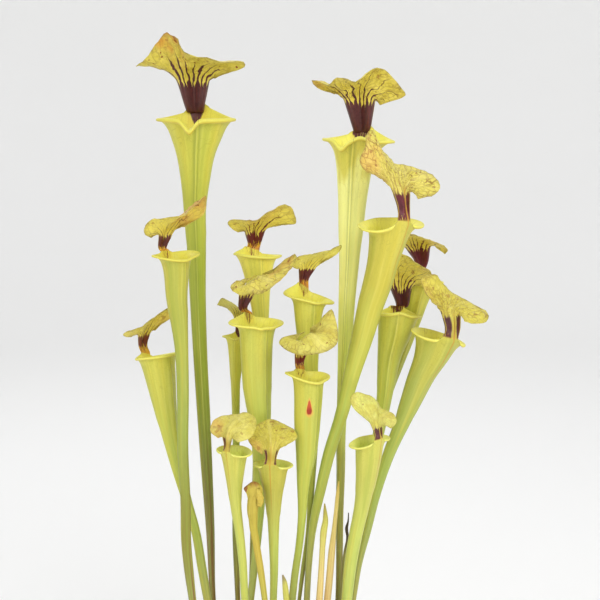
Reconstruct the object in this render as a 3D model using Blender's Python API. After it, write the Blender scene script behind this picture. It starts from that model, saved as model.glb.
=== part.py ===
"""Yellow pitcher plant growing in a round plastic nursery pot.

Sixteen open pitchers, one young pitcher whose lid is still curled, and four shoots stand in
plain holes in the compost that fills the pot. Each leaf is one closed solid: a funnel-shaped
tube with a rolled lip, whose back runs up as a narrow column and spreads into the lid.

Frame: metres, +Z up, +X to the right and +Y to the back as the plant faces the viewer, with
the origin at the middle of the pot's underside.
"""
import math
import random

import bmesh
import bpy
import numpy as np

MM = 0.001

# Pot, in millimetres
POT_HEIGHT = 187.0
POT_BASE_RADIUS = 88.0
POT_WALL_TOP_RADIUS = 109.0
POT_BAND_HEIGHT = 24.0
POT_BAND_OUT = 4.5
POT_WALL = 2.2
POT_FLOOR = 3.0
POT_FOOT_BEVEL = 4.0
POT_SIDES = 24
DRAIN_RADIUS = 6.0
DRAIN_CIRCLE = 62.0
DRAIN_COUNT = 6

# Compost, in millimetres
COMPOST_TOP = 170.0
COMPOST_CROWN = 3.0
COMPOST_BUMP = 1.6
COMPOST_RINGS = (24.0, 48.0, 72.0, 92.0)
COMPOST_SIDES = POT_SIDES
HOLE_DEPTH = 14.0
HOLE_SIDES = 8
HOLE_CLEARANCE = 0.5
HOLE_FLOOR_GAP = 0.4
GAP = 0.3

# Leaves: blade thickness in millimetres, angles in degrees, shares of the mouth's width
BLADE = 1.1
SIDE_TO_DEPTH = 1.1
BACK_TO_NECK = 1.3
FRONT_STRIPS = 12
LIP_ROLL = 0.045
FLARE_DEPTH = 0.10
FRONT_FLARE = 0.07
BACK_RISE = 0.19
RISE_POWER = 3.0
RISE_DEPTH = 20.0
LEAN_DEPTH = 30.0
SPOUT_ANGLE = 20.0
KEEL_OUT = 2.2
KEEL_ANGLE = 14.0
COLUMN_FOLD = 0.45
LID_ARCH = 0.42
COLUMN_ROWS = (0.45, 1.0)
LID_ROWS = 3
STEM_FOOT = 6.0
# How far below the mouth each ring of the hollow part lies, and how many sides it has; the
# rings with 0 sides have the lip's own points
HOLLOW_RINGS = ((0.0, 0), (0.09, 0), (0.3, 16), (0.8, 14), (1.9, 11))
# The solid part below, as shares of what is left of the stem
STEM_RINGS = ((0.14, 9), (0.32, 8), (0.6, 7))
STEM_SIDES = 7

# Each pitcher, in millimetres. "mouth" is the middle of the mouth; every other place is
# measured from it, x to the right, y to the back and z up. "faces" is the heading of the
# mouth's front in degrees, -90 towards the viewer. "lean" tips the mouth to the right and to
# the viewer, in degrees. "tips" is the distance between the side tips of the lip. "spout" is
# the front dip's turn in degrees and its depth. "tube" runs down the middle of the tube as
# x, y, z and width. "neck" and "crown" are the column's narrowest and widest places, with
# their widths. "lid" is the lid's free edge, from the photograph's left to its right.
PITCHERS = {
    "pitcher_left_tall": {
        "mouth": (-89, 40, 795), "faces": -88, "lean": (0, 0), "tips": 86, "spout": (-14, 9),
        "tube": [(0, 0, 0, 66), (-1, 0, -21, 54), (-2, -1, -37, 43), (-3, -2, -69, 31),
                 (-4, -3, -100, 24), (-3, -4, -133, 22), (-2, -6, -201, 18), (0, -8, -267, 16),
                 (3, -11, -334, 15), (6, -14, -401, 13), (9, -16, -470, 10), (11, -18, -556, 7)],
        "base": (15, -16), "neck": (-4, 27, 16, 17), "crown": (-6, 24, 39, 35),
        "lid": [(-67, 8, 57), (-51, 0, 74), (-31, -12, 92), (-17, -22, 83), (-3, -30, 67),
                (12, -26, 65), (29, -12, 60), (47, 0, 63), (53, 6, 57)],
    },
    "pitcher_left_middle": {
        "mouth": (-110, -15, 650), "faces": -42, "lean": (1, 9), "tips": 70, "spout": (0, 1),
        "tube": [(0, 0, 0, 32), (1, 0, -15, 27), (1, 0, -45, 22), (3, 0, -70, 19),
                 (5, -1, -97, 15), (6, -3, -148, 13), (5, -5, -218, 12), (7, -7, -273, 11),
                 (7, -8, -318, 11), (10, -9, -359, 10), (13, -10, -388, 8)],
        "base": (20, -7), "neck": (-15, 13, 9, 12), "crown": (-12, 12, 21, 17),
        "lid": [(-30, 2, 21), (-31, -8, 30), (-19, -24, 41), (-4, -34, 44), (13, -38, 46),
                (27, -32, 56), (36, -20, 64), (33, -8, 52), (26, 0, 40)],
    },
    "pitcher_left_low": {
        "mouth": (-138, 20, 532), "faces": -40, "lean": (-10, -10), "tips": 66, "spout": (0, 0),
        "tube": [(1, 0, 0, 38), (5, -2, -24, 33), (8, -4, -45, 28), (15, -8, -88, 19),
                 (25, -12, -132, 14), (34, -16, -165, 11), (43, -19, -198, 10),
                 (50, -21, -243, 10), (56, -23, -281, 9)],
        "base": (72, -26), "neck": (-18, 14, 10, 10), "crown": (-15, 12, 22, 16),
        "lid": [(-35, 4, 21), (-35, -4, 26), (-26, -12, 32), (-16, -22, 37), (-4, -28, 41),
                (7, -26, 50), (17, -14, 57), (20, -6, 50), (15, 0, 41)],
    },
    "pitcher_centre_high": {
        "mouth": (-28, 55, 641), "faces": -73, "lean": (4, -7), "tips": 52, "spout": (0, 0),
        "tube": [(2, 0, 0, 41), (4, -1, -23, 31), (5, -2, -40, 25), (7, -3, -68, 18),
                 (6, -6, -117, 14), (4, -9, -185, 11), (1, -12, -253, 9), (-3, -14, -323, 7),
                 (-7, -18, -409, 6)],
        "base": (-14, -21), "neck": (-3, 20, 11, 15), "crown": (0, 18, 25, 23),
        "lid": [(-31, 8, 38), (-19, -2, 42), (-6, -14, 41), (5, -24, 43), (17, -26, 50),
                (26, -22, 56), (36, -14, 60), (44, -6, 53), (47, 0, 39)],
    },
    "pitcher_centre_front": {
        "mouth": (-25, 5, 574), "faces": -55, "lean": (5, 2), "tips": 68, "spout": (10, 1),
        "tube": [(2, 0, 0, 39), (1, 0, -18, 36), (1, -1, -51, 33), (2, -2, -84, 30),
                 (4, -2, -110, 25), (5, -3, -141, 20), (4, -3, -181, 16), (0, -4, -252, 10),
                 (-8, -5, -324, 8)],
        "base": (-17, -3), "neck": (-14, 12, 12, 10), "crown": (-11, 10, 27, 18),
        "lid": [(-25, -4, 37), (-18, -16, 34), (-2, -28, 36), (14, -34, 40), (29, -34, 52),
                (42, -26, 65), (46, -12, 77), (34, 6, 68), (16, 16, 54), (-7, 22, 47)],
    },
    "pitcher_centre_back": {
        "mouth": (-48, 45, 550), "faces": -100, "lean": (0, -6), "tips": 33, "spout": (0, 2),
        "tube": [(0, 0, 0, 23), (-1, -1, -19, 17), (-2, -2, -46, 12), (-2, -4, -90, 9),
                 (-2, -8, -159, 8), (-3, -13, -228, 8), (-1, -18, -313, 6)],
        "base": (2, -25), "neck": (2, 13, 9, 8), "crown": (2, 12, 19, 12),
        "lid": [(-22, 0, 36), (-16, -8, 45), (-7, -14, 42), (3, -18, 36), (9, -14, 33),
                (12, -6, 27), (9, 2, 21)],
    },
    "pitcher_mid_high": {
        "mouth": (34, 25, 599), "faces": -67, "lean": (12, 3), "tips": 58, "spout": (0, 1),
        "tube": [(0, 0, 0, 35), (-1, -2, -25, 29), (-1, -3, -42, 25), (0, -5, -77, 21),
                 (2, -7, -117, 17), (4, -8, -152, 14), (3, -11, -210, 9), (-1, -13, -273, 5),
                 (-7, -14, -320, 5), (-11, -15, -354, 4)],
        "base": (-19, -15), "neck": (-6, 16, 15, 11), "crown": (-2, 14, 30, 20),
        "lid": [(-18, 6, 34), (-16, -10, 44), (-3, -26, 49), (9, -34, 52), (22, -28, 56),
                (31, -18, 58), (36, -8, 59), (32, -2, 50), (19, 4, 41)],
    },
    "pitcher_mid_spotted": {
        "mouth": (34, -30, 521), "faces": -52, "lean": (6, 4), "tips": 60, "spout": (0, 1),
        "tube": [(-1, 0, 0, 32), (-1, 0, -22, 30), (-2, 1, -48, 28), (-3, 3, -87, 23),
                 (-6, 6, -119, 15), (-8, 8, -164, 9), (-11, 10, -196, 8), (-16, 12, -233, 8),
                 (-19, 13, -263, 8)],
        "base": (-26, 16), "neck": (-11, 14, 12, 11), "crown": (-10, 12, 20, 14),
        "lid": [(-31, -4, 41), (-28, -16, 35), (-17, -26, 32), (-4, -34, 31), (10, -38, 33),
                (21, -36, 36), (29, -28, 45), (28, -10, 62), (23, 4, 73), (12, 12, 56),
                (-7, 14, 44)],
    },
    "pitcher_right_tall": {
        "mouth": (87, 45, 772), "faces": -100, "lean": (2, 0), "tips": 78, "spout": (-24, 8),
        "tube": [(1, 0, 0, 56), (-1, 0, -15, 46), (-4, -2, -57, 33), (-6, -3, -100, 27),
                 (-8, -5, -143, 22), (-10, -7, -179, 19), (-12, -9, -231, 16),
                 (-14, -11, -283, 13), (-16, -13, -334, 11), (-16, -15, -379, 10),
                 (-17, -17, -424, 9), (-17, -19, -471, 8), (-18, -20, -534, 7)],
        "base": (-21, -21), "neck": (7, 24, 18, 20), "crown": (4, 21, 42, 35),
        "lid": [(-50, 8, 64), (-34, 0, 59), (-21, -12, 69), (-11, -24, 65), (-2, -32, 62),
                (8, -26, 68), (23, -16, 78), (41, -6, 66), (54, 4, 49)],
    },
    "pitcher_right_curved": {
        "mouth": (121, -10, 683), "faces": 127, "lean": (6, 11), "tips": 83, "spout": (0, 0),
        "tube": [(1, 0, 0, 45), (-3, 0, -20, 39), (-7, 0, -38, 34), (-13, 1, -64, 32),
                 (-20, 2, -88, 29), (-29, 4, -125, 25), (-40, 7, -168, 19), (-51, 10, -214, 15),
                 (-64, 12, -258, 14), (-74, 13, -303, 12), (-83, 13, -350, 9),
                 (-87, 12, -395, 7), (-89, 11, -434, 7)],
        "base": (-91, 9), "neck": (13, -14, 19, 16), "crown": (11, -12, 34, 22),
        "lid": [(-27, -16, 57), (-34, -13, 65), (-33, -7, 84), (-25, 1, 99), (-17, 8, 98),
                (-13, 16, 85), (-4, 26, 73), (6, 32, 64), (20, 30, 61), (35, 24, 57),
                (47, 14, 51), (53, 4, 41), (45, -5, 32), (31, -9, 28)],
    },
    "pitcher_right_back": {
        "mouth": (164, 70, 610), "faces": -80, "lean": (3, -4), "tips": 53, "spout": (0, 2),
        "tube": [(-1, 0, 0, 42), (-6, -2, -22, 30), (-11, -4, -45, 23), (-24, -10, -88, 16),
                 (-39, -15, -133, 12), (-54, -20, -212, 9), (-68, -22, -295, 8),
                 (-80, -24, -369, 7)],
        "base": (-90, -26), "neck": (2, 20, 17, 15), "crown": (-2, 17, 35, 28),
        "lid": [(-31, 5, 43), (-25, -8, 52), (-17, -18, 56), (-7, -25, 55), (7, -20, 49),
                (21, -10, 42), (30, -2, 36), (28, 4, 31)],
    },
    "pitcher_right_middle": {
        "mouth": (136, 30, 578), "faces": -92, "lean": (5, -9), "tips": 51, "spout": (4, -3),
        "tube": [(-2, 0, 0, 42), (-5, 0, -21, 37), (-11, -2, -49, 26), (-16, -5, -93, 18),
                 (-21, -8, -127, 14), (-29, -12, -169, 10), (-41, -18, -236, 9),
                 (-54, -22, -320, 8)],
        "base": (-66, -24), "neck": (2, 20, 8, 15), "crown": (3, 17, 27, 24),
        "lid": [(-19, 10, 49), (-15, -2, 64), (-3, -14, 70), (9, -20, 66), (21, -18, 58),
                (31, -8, 52), (35, 2, 44), (31, 8, 35), (22, 12, 31)],
    },
    "pitcher_right_outer": {
        "mouth": (179, 4, 558), "faces": 123, "lean": (20, -1), "tips": 66, "spout": (0, 0),
        "tube": [(-2, 0, 0, 46), (-10, -2, -23, 37), (-21, -4, -45, 30), (-30, -6, -67, 25),
                 (-39, -9, -89, 20), (-57, -14, -132, 14), (-70, -16, -175, 11),
                 (-80, -18, -220, 9), (-88, -19, -255, 7), (-95, -19, -303, 6)],
        "base": (-111, -18), "neck": (12, -14, 13, 20), "crown": (11, -12, 25, 24),
        "lid": [(-22, -25, 56), (-25, -22, 66), (-13, -14, 69), (-3, 2, 63), (10, 22, 46),
                (27, 31, 38), (41, 26, 32), (53, 14, 26), (55, 5, 21), (44, -2, 15)],
    },
    "small_pitcher_right": {
        "mouth": (96, -60, 458), "faces": 132, "lean": (-2, 3), "tips": 52, "spout": (0, 0),
        "tube": [(2, 0, 0, 29), (1, 1, -19, 27), (0, 3, -34, 24), (-5, 10, -76, 17),
                 (-11, 14, -110, 15), (-16, 18, -144, 14), (-20, 23, -191, 12)],
        "base": (-30, 28), "neck": (11, -8, 10, 11), "crown": (10, -7, 16, 13),
        "lid": [(-6, -9, 29), (-16, -7, 38), (-19, -2, 46), (-14, 6, 51), (-2, 14, 47),
                (8, 19, 41), (16, 21, 30), (22, 17, 28), (28, 10, 26), (30, 2, 20),
                (24, -4, 15)],
    },
    "small_pitcher_left": {
        "mouth": (-47, -60, 447), "faces": 53, "lean": (-2, 4), "tips": 42, "spout": (0, 0),
        "tube": [(1, 0, 0, 28), (1, 2, -25, 20), (1, 4, -43, 15), (2, 6, -65, 12),
                 (5, 9, -94, 10), (8, 12, -130, 9), (10, 14, -175, 8)],
        "base": (15, 22), "neck": (-6, -9, 9, 8), "crown": (-6, -8, 16, 12),
        "lid": [(-16, -4, 16), (-24, 2, 21), (-22, 10, 29), (-14, 18, 32), (-1, 24, 33),
                (12, 25, 35), (23, 17, 31), (24, 6, 25), (18, -6, 16), (6, -11, 13)],
    },
    "small_pitcher_centre": {
        "mouth": (-4, -50, 429), "faces": 78, "lean": (0, 0), "tips": 42, "spout": (0, 0),
        "tube": [(-1, 0, 0, 31), (-1, 1, -18, 26), (-1, 3, -31, 21), (-1, 8, -56, 15),
                 (-1, 16, -95, 11), (-1, 22, -134, 9), (-2, 26, -168, 8)],
        "base": (-2, 32), "neck": (-3, -12, 12, 12), "crown": (-3, -10, 18, 16),
        "lid": [(-12, -8, 13), (-21, -4, 19), (-28, 4, 28), (-20, 15, 38), (-11, 22, 42),
                (-1, 26, 42), (11, 23, 37), (22, 13, 33), (25, 5, 29), (13, -5, 22)],
    },
}

# Young growth with no open mouth, from tip to base: x, y, z and width in millimetres, from
# the frame's origin; the last entry's height is where it enters the compost
SHOOTS = {
    "young_pitcher_curled": [
        (-18, -64, 394, 3), (-16, -64, 399, 6.5), (-15.5, -64, 406, 7.5), (-18, -64, 412, 7.5),
        (-23, -64, 413, 8.5), (-27, -63, 408, 11), (-29, -62, 399, 12.5), (-29, -61, 386, 11),
        (-27, -55, 367, 9.5), (-24, -50, 341, 8), (-19, -45, 304, 7.5), (-15, -41, 269, 6.5),
        (-11, -36, 210, 7), (-10, -34, 170, 8)],
    "shoot_yellow": [
        (51, -34, 379, 1.2), (51.5, -34, 371, 3.5), (52, -34, 360, 6), (50, -33, 345, 7.5),
        (49, -33, 330, 6.5), (48, -32, 308, 6.5), (46, -31, 270, 7.5), (42, -29, 215, 7.5),
        (40, -28, 170, 8)],
    "shoot_orange": [
        (67, -18, 399, 1.2), (66, -18, 386, 3.8), (64, -17.5, 362, 4.5), (62, -17, 340, 5.5),
        (60, -17, 319, 7.5), (57, -16, 280, 8), (52, -13, 220, 8), (50, -12, 170, 8)],
    "shoot_brown": [
        (78, -20, 363, 1), (77.5, -20, 352, 2), (76, -20, 345, 3.5), (77, -20, 335, 3),
        (74, -19, 315, 3), (71, -18, 270, 4), (62, -21, 210, 5), (58, -22, 170, 6)],
    "shoot_small": [
        (5, -50, 303, 1.5), (7, -50, 295, 5), (8, -50, 287, 6.5), (9, -50, 273, 6.5),
        (10, -46, 220, 6.5), (10, -42, 170, 7)],
}
SHOOT_SIDES = 8

# Colours as red, green, blue and roughness
LEAF_FINISH = (0.56, 0.60, 0.10, 0.45)
SMALL_LEAF_FINISH = (0.62, 0.62, 0.16, 0.45)
SHOOT_FINISHES = {
    "young_pitcher_curled": (0.66, 0.50, 0.12, 0.5),
    "shoot_yellow": (0.66, 0.55, 0.14, 0.5),
    "shoot_orange": (0.70, 0.38, 0.14, 0.5),
    "shoot_brown": (0.16, 0.08, 0.04, 0.6),
    "shoot_small": (0.58, 0.60, 0.14, 0.5),
}
COMPOST_FINISH = (0.045, 0.028, 0.018, 0.95)
POT_FINISH = (0.03, 0.031, 0.033, 0.5)


def clear_objects():
    for thing in list(bpy.data.objects):
        bpy.data.objects.remove(thing, do_unlink=True)


def finish(name, colour):
    """A plain material from a colour and a roughness."""
    material = bpy.data.materials.new(name)
    material.use_nodes = True
    shader = material.node_tree.nodes["Principled BSDF"]
    shader.inputs["Base Color"].default_value = (*colour[:3], 1.0)
    shader.inputs["Roughness"].default_value = colour[3]
    shader.inputs["Metallic"].default_value = 0.0
    return material


def solid(name, points, faces, colour, sharp=None):
    """One object from points in millimetres and faces, with its faces turned outwards."""
    mesh = bpy.data.meshes.new(name)
    mesh.from_pydata([tuple(float(c) * MM for c in p) for p in points], [], faces)
    work = bmesh.new()
    work.from_mesh(mesh)
    bmesh.ops.recalc_face_normals(work, faces=work.faces[:])
    work.to_mesh(mesh)
    work.free()
    mesh.shade_smooth()
    if sharp is not None:
        mesh.set_sharp_from_angle(angle=math.radians(sharp))
    mesh.materials.append(finish(name, colour))
    thing = bpy.data.objects.new(name, mesh)
    bpy.context.scene.collection.objects.link(thing)
    return thing


def through(points, at):
    """Read the smooth curve through the points at shares of its length, 0 to 1."""
    points = np.array(points, float)
    steps = np.linalg.norm(np.diff(points[:, :3], axis=0), axis=1)
    knots = np.concatenate([[0.0], np.cumsum(steps)]) / steps.sum()
    slopes = np.gradient(points, knots, axis=0)
    at = np.clip(np.atleast_1d(at), 0.0, 1.0)
    left = np.clip(np.searchsorted(knots, at, side="right") - 1, 0, len(knots) - 2)
    span = (knots[left + 1] - knots[left])[:, None]
    t = (at - knots[left])[:, None] / span
    return ((2 * t**3 - 3 * t**2 + 1) * points[left] + (t**3 - 2 * t**2 + t) * span * slopes[left]
            + (3 * t**2 - 2 * t**3) * points[left + 1] + (t**3 - t**2) * span * slopes[left + 1])


def smooth(low, high, value):
    """Ease from 0 at low to 1 at high."""
    t = np.clip((value - low) / (high - low), 0.0, 1.0)
    return t * t * (3 - 2 * t)


class Pitcher:
    """The middle surface of one pitcher, as formulas, in millimetres from its mouth."""

    def __init__(self, leaf):
        self.leaf = leaf
        heading = math.radians(leaf["faces"])
        self.front = np.array([math.cos(heading), math.sin(heading), 0.0])
        self.side = np.array([-math.sin(heading), math.cos(heading), 0.0])
        seen = math.hypot(SIDE_TO_DEPTH * math.sin(heading), math.cos(heading))
        self.depth_share = 0.5 / seen
        self.mouth_width = leaf["tube"][0][3]
        drop = COMPOST_TOP + STEM_FOOT - leaf["mouth"][2]
        foot = leaf["tube"][-1][3] + 1.0
        self.path = list(leaf["tube"]) + [(*leaf["base"], drop, foot)]
        self.reach = sum(math.dist(a[:3], b[:3]) for a, b in zip(self.path, self.path[1:]))
        self.lid_edge = list(leaf["lid"])
        if self.side[0] < 0:
            self.lid_edge.reverse()
        back_half = BACK_TO_NECK * leaf["neck"][3] / 2
        wide = self.mouth_width * self.depth_share * SIDE_TO_DEPTH
        self.back_angle = math.degrees(math.asin(min(back_half / wide, 0.6)))

    def ring(self, below, angles, rolled=0.0):
        """Points round the tube at a distance below the lip; rolled turns the lip over."""
        x, y, z, width = through(self.path, below / self.reach)[0]
        deep = width * self.depth_share
        wide = deep * SIDE_TO_DEPTH
        turn = np.radians(angles)
        sine, cosine = np.sin(turn), np.cos(turn)
        ear = sine**4
        size = self.mouth_width
        mouth_wide = size * self.depth_share * SIDE_TO_DEPTH
        spread = (self.leaf["tips"] / 2 - mouth_wide) * ear
        spread = spread + FRONT_FLARE * size * (0.5 - 0.5 * cosine) * (1 - ear)
        spread = spread * math.exp(-below / (FLARE_DEPTH * size))
        spout_turn, spout_drop = self.leaf["spout"]
        from_spout = (np.asarray(angles) - (180.0 - spout_turn) + 180.0) % 360.0 - 180.0
        spout = np.exp(-(from_spout / SPOUT_ANGLE)**2) * math.exp(-below / (FLARE_DEPTH * size))
        from_keel = (np.asarray(angles) % 360.0) - 180.0
        keel = KEEL_OUT * np.exp(-(from_keel / KEEL_ANGLE)**2)
        keel = keel * smooth(0.05, 0.5, below / size) * smooth(1.0, 0.8, below / self.reach)
        out_wide = wide + spread + keel
        out_deep = deep + spread + keel + 0.3 * spout_drop * spout
        flat = np.outer(out_wide * sine, self.side) - np.outer(out_deep * cosine, self.front)
        rise = np.clip(cosine / math.cos(math.radians(self.back_angle)), 0, 1)
        rise = BACK_RISE * size * rise**RISE_POWER
        lift = rise * math.exp(-below / RISE_DEPTH) - spout_drop * spout
        lift = lift + self.lean(flat) * math.exp(-below / LEAN_DEPTH)
        points = flat + np.array([x, y, z])
        points[:, 2] += lift
        if rolled > 0:
            radius = LIP_ROLL * size * (1 - 0.5 * ear)
            away = np.abs((np.asarray(angles) + 180.0) % 360.0 - 180.0)
            share = smooth(self.back_angle, self.back_angle + 35.0, away)
            outward = flat / np.linalg.norm(flat, axis=1)[:, None]
            curl = math.radians(rolled)
            points = points + outward * (radius * math.sin(curl) * share)[:, None]
            points[:, 2] += -radius * (1 - math.cos(curl)) * share + self.step() * (1 - share)
        return points

    def step(self):
        """How far the lip's back stands above its crest where the column starts."""
        return 0.05 * self.mouth_width

    def lean(self, flat):
        right, near = (math.tan(math.radians(a)) for a in self.leaf["lean"])
        return flat[:, 1] * near - flat[:, 0] * right

    def column(self, share, across):
        """One row of the column, share 0 at the lip's back to 1 at the crown."""
        across = np.asarray(across, float)
        spine = self.ring(0.0, [0.0], rolled=120.0)[0]
        edge = self.ring(0.0, [self.back_angle], rolled=120.0)[0]
        base_half = abs(float((edge - spine) @ self.side))
        places = [(*spine, base_half)]
        for key in ("neck", "crown"):
            x, y, z, width = self.leaf[key]
            places.append((x, y, z, width / 2))
        x, y, z, half = through(places, share)[0]
        arc = np.radians(across * self.back_angle)
        blend = float(smooth(0.0, 0.5, share))
        round_side = half * np.sin(arc) / math.sin(math.radians(self.back_angle))
        open_side = half * across * (1.25 - 0.25 * across**2)
        sideways = open_side * blend + round_side * (1 - blend)
        deep = self.mouth_width * self.depth_share
        forward = deep * (1 - np.cos(arc)) * (1 - blend)
        forward = forward + blend * COLUMN_FOLD * half * np.sin(math.pi * np.abs(across)**1.3)
        flat = np.outer(sideways, self.side) + np.outer(forward, self.front)
        points = flat + np.array([x, y, z])
        points[:, 2] += self.lean(flat) * (1 - blend)
        return points

    def lid(self, share, across):
        """One row of the lid, share 0 at the crown to 1 at its free edge."""
        across = np.asarray(across, float)
        start = self.column(1.0, across)
        along = start - self.column(0.8, across)
        along = along / np.linalg.norm(along, axis=1)[:, None]
        edge = through(self.lid_edge, (across + 1) / 2)
        length = np.linalg.norm(edge - start, axis=1)[:, None]
        bend = start + along * length * LID_ARCH
        return start * (1 - share)**2 + 2 * bend * share * (1 - share) + edge * share**2


def zipper(lower, lower_angles, upper, upper_angles):
    """Triangles between two closed rings of point numbers, matched by their angles."""
    a = list(lower_angles) + [lower_angles[0] + 360.0]
    b = list(upper_angles) + [upper_angles[0] + 360.0]
    faces = []
    i = j = 0
    while i < len(lower) or j < len(upper):
        lower_next = a[i + 1] if i < len(lower) else math.inf
        upper_next = b[j + 1] if j < len(upper) else math.inf
        here, above = lower[i % len(lower)], upper[j % len(upper)]
        if lower_next < upper_next - 1e-6:
            faces.append((here, above, lower[(i + 1) % len(lower)]))
            i += 1
        else:
            faces.append((here, above, upper[(j + 1) % len(upper)]))
            j += 1
    return faces


def even_angles(count):
    """Angles evenly round a ring, one of them at the front, in rising order from the back."""
    turned = [180.0 + 360.0 * k / count for k in range(count)]
    return sorted((angle + 30.0) % 360.0 - 30.0 for angle in turned)


def strips_across(form):
    """Where the strips of the column and lid meet, -1 to 1, so that they end in the lid's
    own points."""
    steps = [math.dist(a, b) for a, b in zip(form.lid_edge, form.lid_edge[1:])]
    return np.concatenate([[0.0], np.cumsum(steps)]) / sum(steps) * 2 - 1


def lip_angles(form, across):
    """Angles round the lip from one margin of the column to the other, close together where
    the column grows from it, and then round the front."""
    back = list(across * form.back_angle)
    front = list(np.linspace(form.back_angle, 360.0 - form.back_angle, FRONT_STRIPS + 1))[1:-1]
    front[len(front) // 2] = 180.0 - form.leaf["spout"][0]
    return back + front


def point_normals(points, faces):
    """Unit normals at the points, averaged from the faces round each."""
    corners = points[np.array(faces)]
    flats = np.cross(corners[:, 1] - corners[:, 0], corners[:, 2] - corners[:, 0])
    normals = np.zeros_like(points)
    for corner in range(3):
        np.add.at(normals, np.array(faces)[:, corner], flats)
    return normals / np.linalg.norm(normals, axis=1)[:, None]


def pitcher(name, leaf):
    """One pitcher: a thin open sheet made thick, on a solid stem."""
    form = Pitcher(leaf)
    points = []
    faces = []

    def add(row):
        first = len(points)
        points.extend(row)
        return list(range(first, len(points)))

    across = strips_across(form)
    strips = len(across) - 1
    top = lip_angles(form, across)
    lip = add(form.ring(0.0, top, rolled=120.0))
    rings = [(lip, top)]
    for share, sides in HOLLOW_RINGS:
        angles = even_angles(sides) if sides else top
        rings.append((add(form.ring(share * form.mouth_width, angles)), angles))
    for (upper, upper_angles), (lower, lower_angles) in zip(rings, rings[1:]):
        faces += zipper(lower, lower_angles, upper, upper_angles)
    rows = [lip[:strips + 1]]
    rows += [add(form.column(share, across)) for share in COLUMN_ROWS]
    rows += [add(form.lid(step / LID_ROWS, across)) for step in range(1, LID_ROWS + 1)]
    for low, high in zip(rows, rows[1:]):
        for k in range(strips):
            if k < strips // 2:
                faces += [(low[k], high[k], low[k + 1]), (low[k + 1], high[k], high[k + 1])]
            else:
                faces += [(low[k], high[k], high[k + 1]), (low[k], high[k + 1], low[k + 1])]
    sheet = np.array(points)
    normals = point_normals(sheet, faces)
    outer = sheet + normals * BLADE / 2
    inner = sheet - normals * BLADE / 2
    count = len(sheet)
    everything = list(outer) + list(inner)
    faces = faces + [(c + count, b + count, a + count) for a, b, c in faces]
    margin = lip[strips:] + lip[:1]
    margin += [r[0] for r in rows[1:]] + rows[-1][1:] + [r[-1] for r in rows[-2:0:-1]]
    for a, b in zip(margin, margin[1:] + margin[:1]):
        faces += [(a, b, b + count), (a, b + count, a + count)]
    ring, angles = rings[-1]
    well = len(everything)
    everything.append(inner[ring].mean(axis=0) - np.array([0.0, 0.0, 4.0]))
    for a, b in zip(ring, ring[1:] + ring[:1]):
        faces.append((a + count, b + count, well))
    below = HOLLOW_RINGS[-1][0] * form.mouth_width
    for share, sides in STEM_RINGS + ((1.0, STEM_SIDES), (None, STEM_SIDES)):
        lower_angles = even_angles(sides)
        if share is None:
            row = form.ring(form.reach, lower_angles)
            row[:, 2] -= STEM_FOOT + HOLE_DEPTH - HOLE_FLOOR_GAP
        else:
            row = form.ring(below + share * (form.reach - below), lower_angles)
        first = len(everything)
        everything.extend(row)
        lower = list(range(first, first + sides))
        faces += zipper(lower, lower_angles, ring, angles)
        ring, angles = lower, lower_angles
    faces.append(tuple(ring))
    places = np.array(everything) + np.array(leaf["mouth"])
    small = name.startswith("small")
    return solid(name, places, faces, SMALL_LEAF_FINISH if small else LEAF_FINISH)


def shoot(name, path):
    """A closed round stem of changing width along its path, pointed at its tip."""
    shares = np.linspace(0.0, 1.0, len(path) + 3)[1:]
    line = through(path, shares)
    line[-1][:3] = (*path[-1][:2], COMPOST_TOP + STEM_FOOT)
    foot = (*path[-1][:2], COMPOST_TOP - HOLE_DEPTH + HOLE_FLOOR_GAP, path[-1][3])
    line = np.vstack([line, [foot]])
    ahead = np.gradient(line[:, :3], axis=0)
    ahead[-2:] = (0.0, 0.0, -1.0)
    across = np.array([1.0, 0.0, 0.0])
    points = [np.array(path[0][:3], float)]
    rows = []
    for place, heading in zip(line, ahead):
        heading = heading / np.linalg.norm(heading)
        across = across - heading * (across @ heading)
        across = across / np.linalg.norm(across)
        other = np.cross(heading, across)
        rows.append(list(range(len(points), len(points) + SHOOT_SIDES)))
        for k in range(SHOOT_SIDES):
            turn = 2 * math.pi * k / SHOOT_SIDES
            spoke = across * math.cos(turn) + other * math.sin(turn)
            points.append(place[:3] + spoke * place[3] / 2)
    faces = [(0, a, b) for a, b in zip(rows[0], rows[0][1:] + rows[0][:1])]
    for high, low in zip(rows, rows[1:]):
        for k in range(SHOOT_SIDES):
            n = (k + 1) % SHOOT_SIDES
            faces += [(high[k], low[k], low[n]), (high[k], low[n], high[n])]
    faces.append(tuple(rows[-1]))
    return solid(name, points, faces, SHOOT_FINISHES[name])


def wall_radius(height):
    """The pot's outer wall radius below its band."""
    share = height / (POT_HEIGHT - POT_BAND_HEIGHT)
    return POT_BASE_RADIUS + (POT_WALL_TOP_RADIUS - POT_BASE_RADIUS) * share


def turned(profile, sides):
    """Points and faces of a closed profile of (radius, height) turned about Z; a radius of
    0 at either end closes it on the axis."""
    points = []
    rows = []
    for radius, height in profile:
        if radius == 0:
            rows.append([len(points)])
            points.append((0.0, 0.0, height))
            continue
        rows.append(list(range(len(points), len(points) + sides)))
        for k in range(sides):
            turn = 2 * math.pi * k / sides
            points.append((radius * math.cos(turn), radius * math.sin(turn), height))
    faces = []
    for a, b in zip(rows, rows[1:]):
        for k in range(sides):
            n = (k + 1) % sides
            if len(a) == 1:
                faces.append((a[0], b[k], b[n]))
            elif len(b) == 1:
                faces.append((a[k], b[0], a[n]))
            else:
                faces.append((a[k], b[k], b[n], a[n]))
    return points, faces


def cut(thing, cutter):
    """Take the cutter's shape out of the thing and keep the cutter as a guide."""
    cutter.hide_render = True
    cutter.display_type = "WIRE"
    cutter.hide_viewport = False
    step = thing.modifiers.new(cutter.name, "BOOLEAN")
    step.operation = "DIFFERENCE"
    step.solver = "EXACT"
    step.object = cutter


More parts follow.
